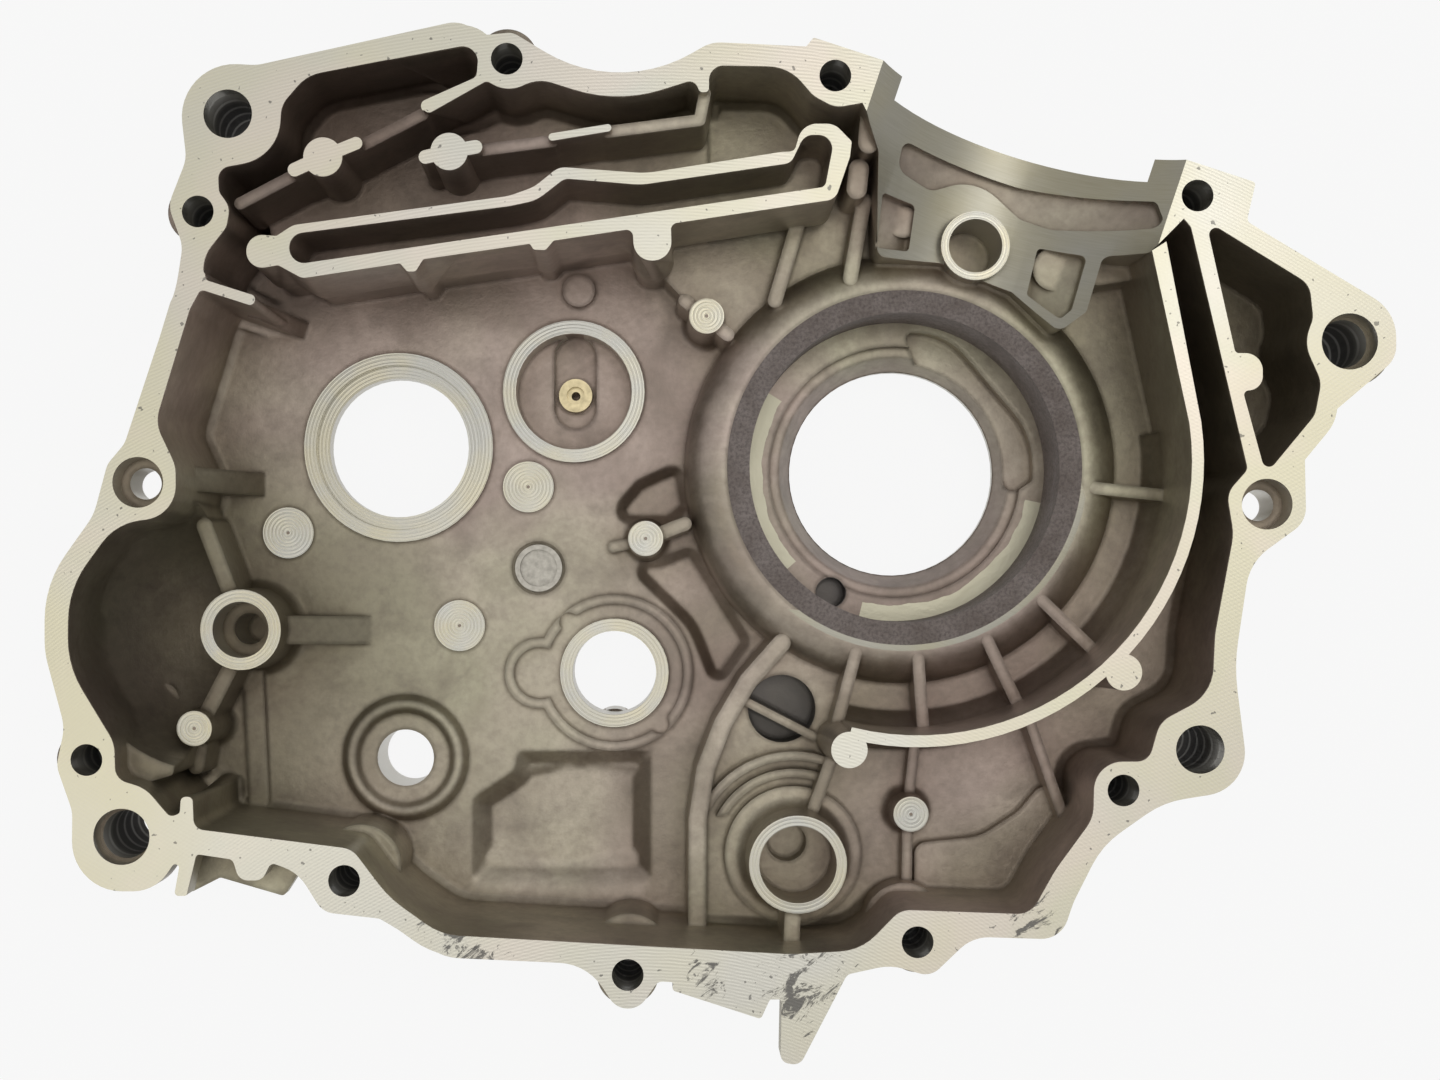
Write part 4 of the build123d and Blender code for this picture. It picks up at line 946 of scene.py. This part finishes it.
class CRANKCASE_OT_ring(bpy.types.Operator):
    """Makes the cast-in iron bearing ring with its rough top"""

    bl_idname = "crankcase.ring"
    bl_label = "Iron ring"

    def execute(self, context):
        piece = merged_copy("bearing_ring", "iron_ring")
        piece.data.materials.append(iron_material(context.scene.crankcase))
        finish_piece(piece, "bearing_ring")
        return {"FINISHED"}


class CRANKCASE_OT_small_metal(bpy.types.Operator):
    """Makes the brass oil jet and the steel cup plug"""

    bl_idname = "crankcase.small_metal"
    bl_label = "Jet and plug"

    def execute(self, context):
        settings = context.scene.crankcase
        jet = merged_copy("oil_jet", "brass_jet")
        jet.data.materials.append(plain_metal("jet_brass_metal", settings.brass, 0.34))
        finish_piece(jet, "oil_jet")
        plug = merged_copy("cup_plug", "steel_plug")
        plug.data.materials.append(plain_metal("plug_steel_metal", settings.steel, 0.42))
        finish_piece(plug, "cup_plug")
        return {"FINISHED"}


class CRANKCASE_OT_stage(bpy.types.Operator):
    """Lays the floor and sets the lights, the room and the camera"""

    bl_idname = "crankcase.stage"
    bl_label = "Stage"

    def execute(self, context):
        settings = context.scene.crankcase_studio
        self.lay_floor(settings)
        self.hang_lights(context.scene, settings)
        self.light_room(context.scene, settings)
        self.place_camera(context.scene, settings)
        return {"FINISHED"}

    def lay_floor(self, settings):
        """Plain floor under the lowest point of the part."""
        shape = bmesh.new()
        bmesh.ops.create_grid(shape, x_segments=1, y_segments=1, size=settings.floor_size / 2)
        bmesh.ops.translate(shape, verts=shape.verts, vec=(0, 0, CAD_BOX[0][2]))
        mesh = bpy.data.meshes.new("floor")
        shape.to_mesh(mesh)
        shape.free()
        floor = bpy.data.objects.new("floor", mesh)
        mesh.materials.append(studio_white("floor_paper", settings.floor_colour, settings.floor_glow))
        bpy.context.scene.collection.objects.link(floor)

    def hang_lights(self, scene, settings):
        """Soft lights over the part: name, place, size, power and colour of each."""
        lamps = [
            ("overhead", (0.0, 0.0, 1.25), 0.6, settings.main_power, (1, 1, 1)),
            ("gleam", (0.25, 0.31, 1.25), 0.3, settings.side_power, (1, 1, 1)),
            ("lower_left", (-0.49, -0.20, 1.0), 0.3, settings.warm_power, settings.warm_colour),
            ("right", (0.45, 0.18, 1.0), 0.3, settings.warm_power, settings.warm_colour),
        ]
        for name, place, size, power, colour in lamps:
            light = bpy.data.lights.new(name, "AREA")
            light.color = colour
            light.size = size
            light.energy = power
            lamp = bpy.data.objects.new(name, light)
            lamp.location = place
            ray = Vector(LAMP_TARGET) - Vector(place)
            lamp.rotation_euler = ray.to_track_quat("-Z", "Y").to_euler()
            scene.collection.objects.link(lamp)

    def light_room(self, scene, settings):
        """Even room that is white to the camera and in metal, like the floor."""
        world = bpy.data.worlds.new("room")
        world.use_nodes = True
        nodes = world.node_tree.nodes
        room = nodes["Background"]
        room.inputs["Color"].default_value = (1.0, 1.0, 1.0, 1)
        room.inputs["Strength"].default_value = settings.room_light
        white = nodes.new("ShaderNodeBackground")
        white.inputs["Color"].default_value = (1.0, 1.0, 1.0, 1)
        white.inputs["Strength"].default_value = settings.room_white
        path = nodes.new("ShaderNodeLightPath")
        choice = nodes.new("ShaderNodeMixShader")
        links = world.node_tree.links
        seen = path.outputs["Is Camera Ray"]
        for kind in ("Is Glossy Ray", "Is Transmission Ray"):
            either = nodes.new("ShaderNodeMath")
            either.operation = "MAXIMUM"
            links.new(seen, either.inputs[0])
            links.new(path.outputs[kind], either.inputs[1])
            seen = either.outputs[0]
        links.new(seen, choice.inputs[0])
        links.new(room.outputs[0], choice.inputs[1])
        links.new(white.outputs[0], choice.inputs[2])
        links.new(choice.outputs[0], nodes["World Output"].inputs[0])
        scene.world = world

    def place_camera(self, scene, settings):
        """Camera straight above the part, with the photograph's small shift."""
        lens = bpy.data.cameras.new("camera")
        lens.lens = settings.lens
        lens.sensor_width = SENSOR_WIDTH
        lens.shift_x = settings.shift_x
        lens.shift_y = settings.shift_y
        lens.clip_start = CAMERA_NEAR
        camera = bpy.data.objects.new("camera", lens)
        camera.location = CAMERA_PLACE
        scene.collection.objects.link(camera)
        scene.camera = camera
        scene.view_settings.view_transform = "Standard"


class CRANKCASE_PT_panel(bpy.types.Panel):
    """Lists the steps and their settings"""

    bl_label = "Crankcase"
    bl_idname = "CRANKCASE_PT_panel"
    bl_space_type = "VIEW_3D"
    bl_region_type = "UI"
    bl_category = "Crankcase"

    def draw(self, context):
        layout = self.layout
        for operator in OPERATORS:
            layout.operator(operator.bl_idname)
        for group in (context.scene.crankcase, context.scene.crankcase_studio):
            for name in group.__annotations__:
                layout.prop(group, name)


OPERATORS = [
    CRANKCASE_OT_casting,
    CRANKCASE_OT_island,
    CRANKCASE_OT_ring,
    CRANKCASE_OT_small_metal,
    CRANKCASE_OT_stage,
]
CLASSES = [CrankcaseSettings, StudioSettings, *OPERATORS, CRANKCASE_PT_panel]


def register():
    """Registers the classes and hangs the settings on the scene."""
    for item in CLASSES:
        bpy.utils.register_class(item)
    bpy.types.Scene.crankcase = PointerProperty(type=CrankcaseSettings)
    bpy.types.Scene.crankcase_studio = PointerProperty(type=StudioSettings)


def unregister():
    """Takes the settings and the classes away again."""
    del bpy.types.Scene.crankcase_studio
    del bpy.types.Scene.crankcase
    for item in reversed(CLASSES):
        bpy.utils.unregister_class(item)


def main():
    """Builds every piece and the stage."""
    register()
    bpy.ops.crankcase.casting()
    bpy.ops.crankcase.island()
    bpy.ops.crankcase.ring()
    bpy.ops.crankcase.small_metal()
    bpy.ops.crankcase.stage()


if __name__ == "__main__":
    main()
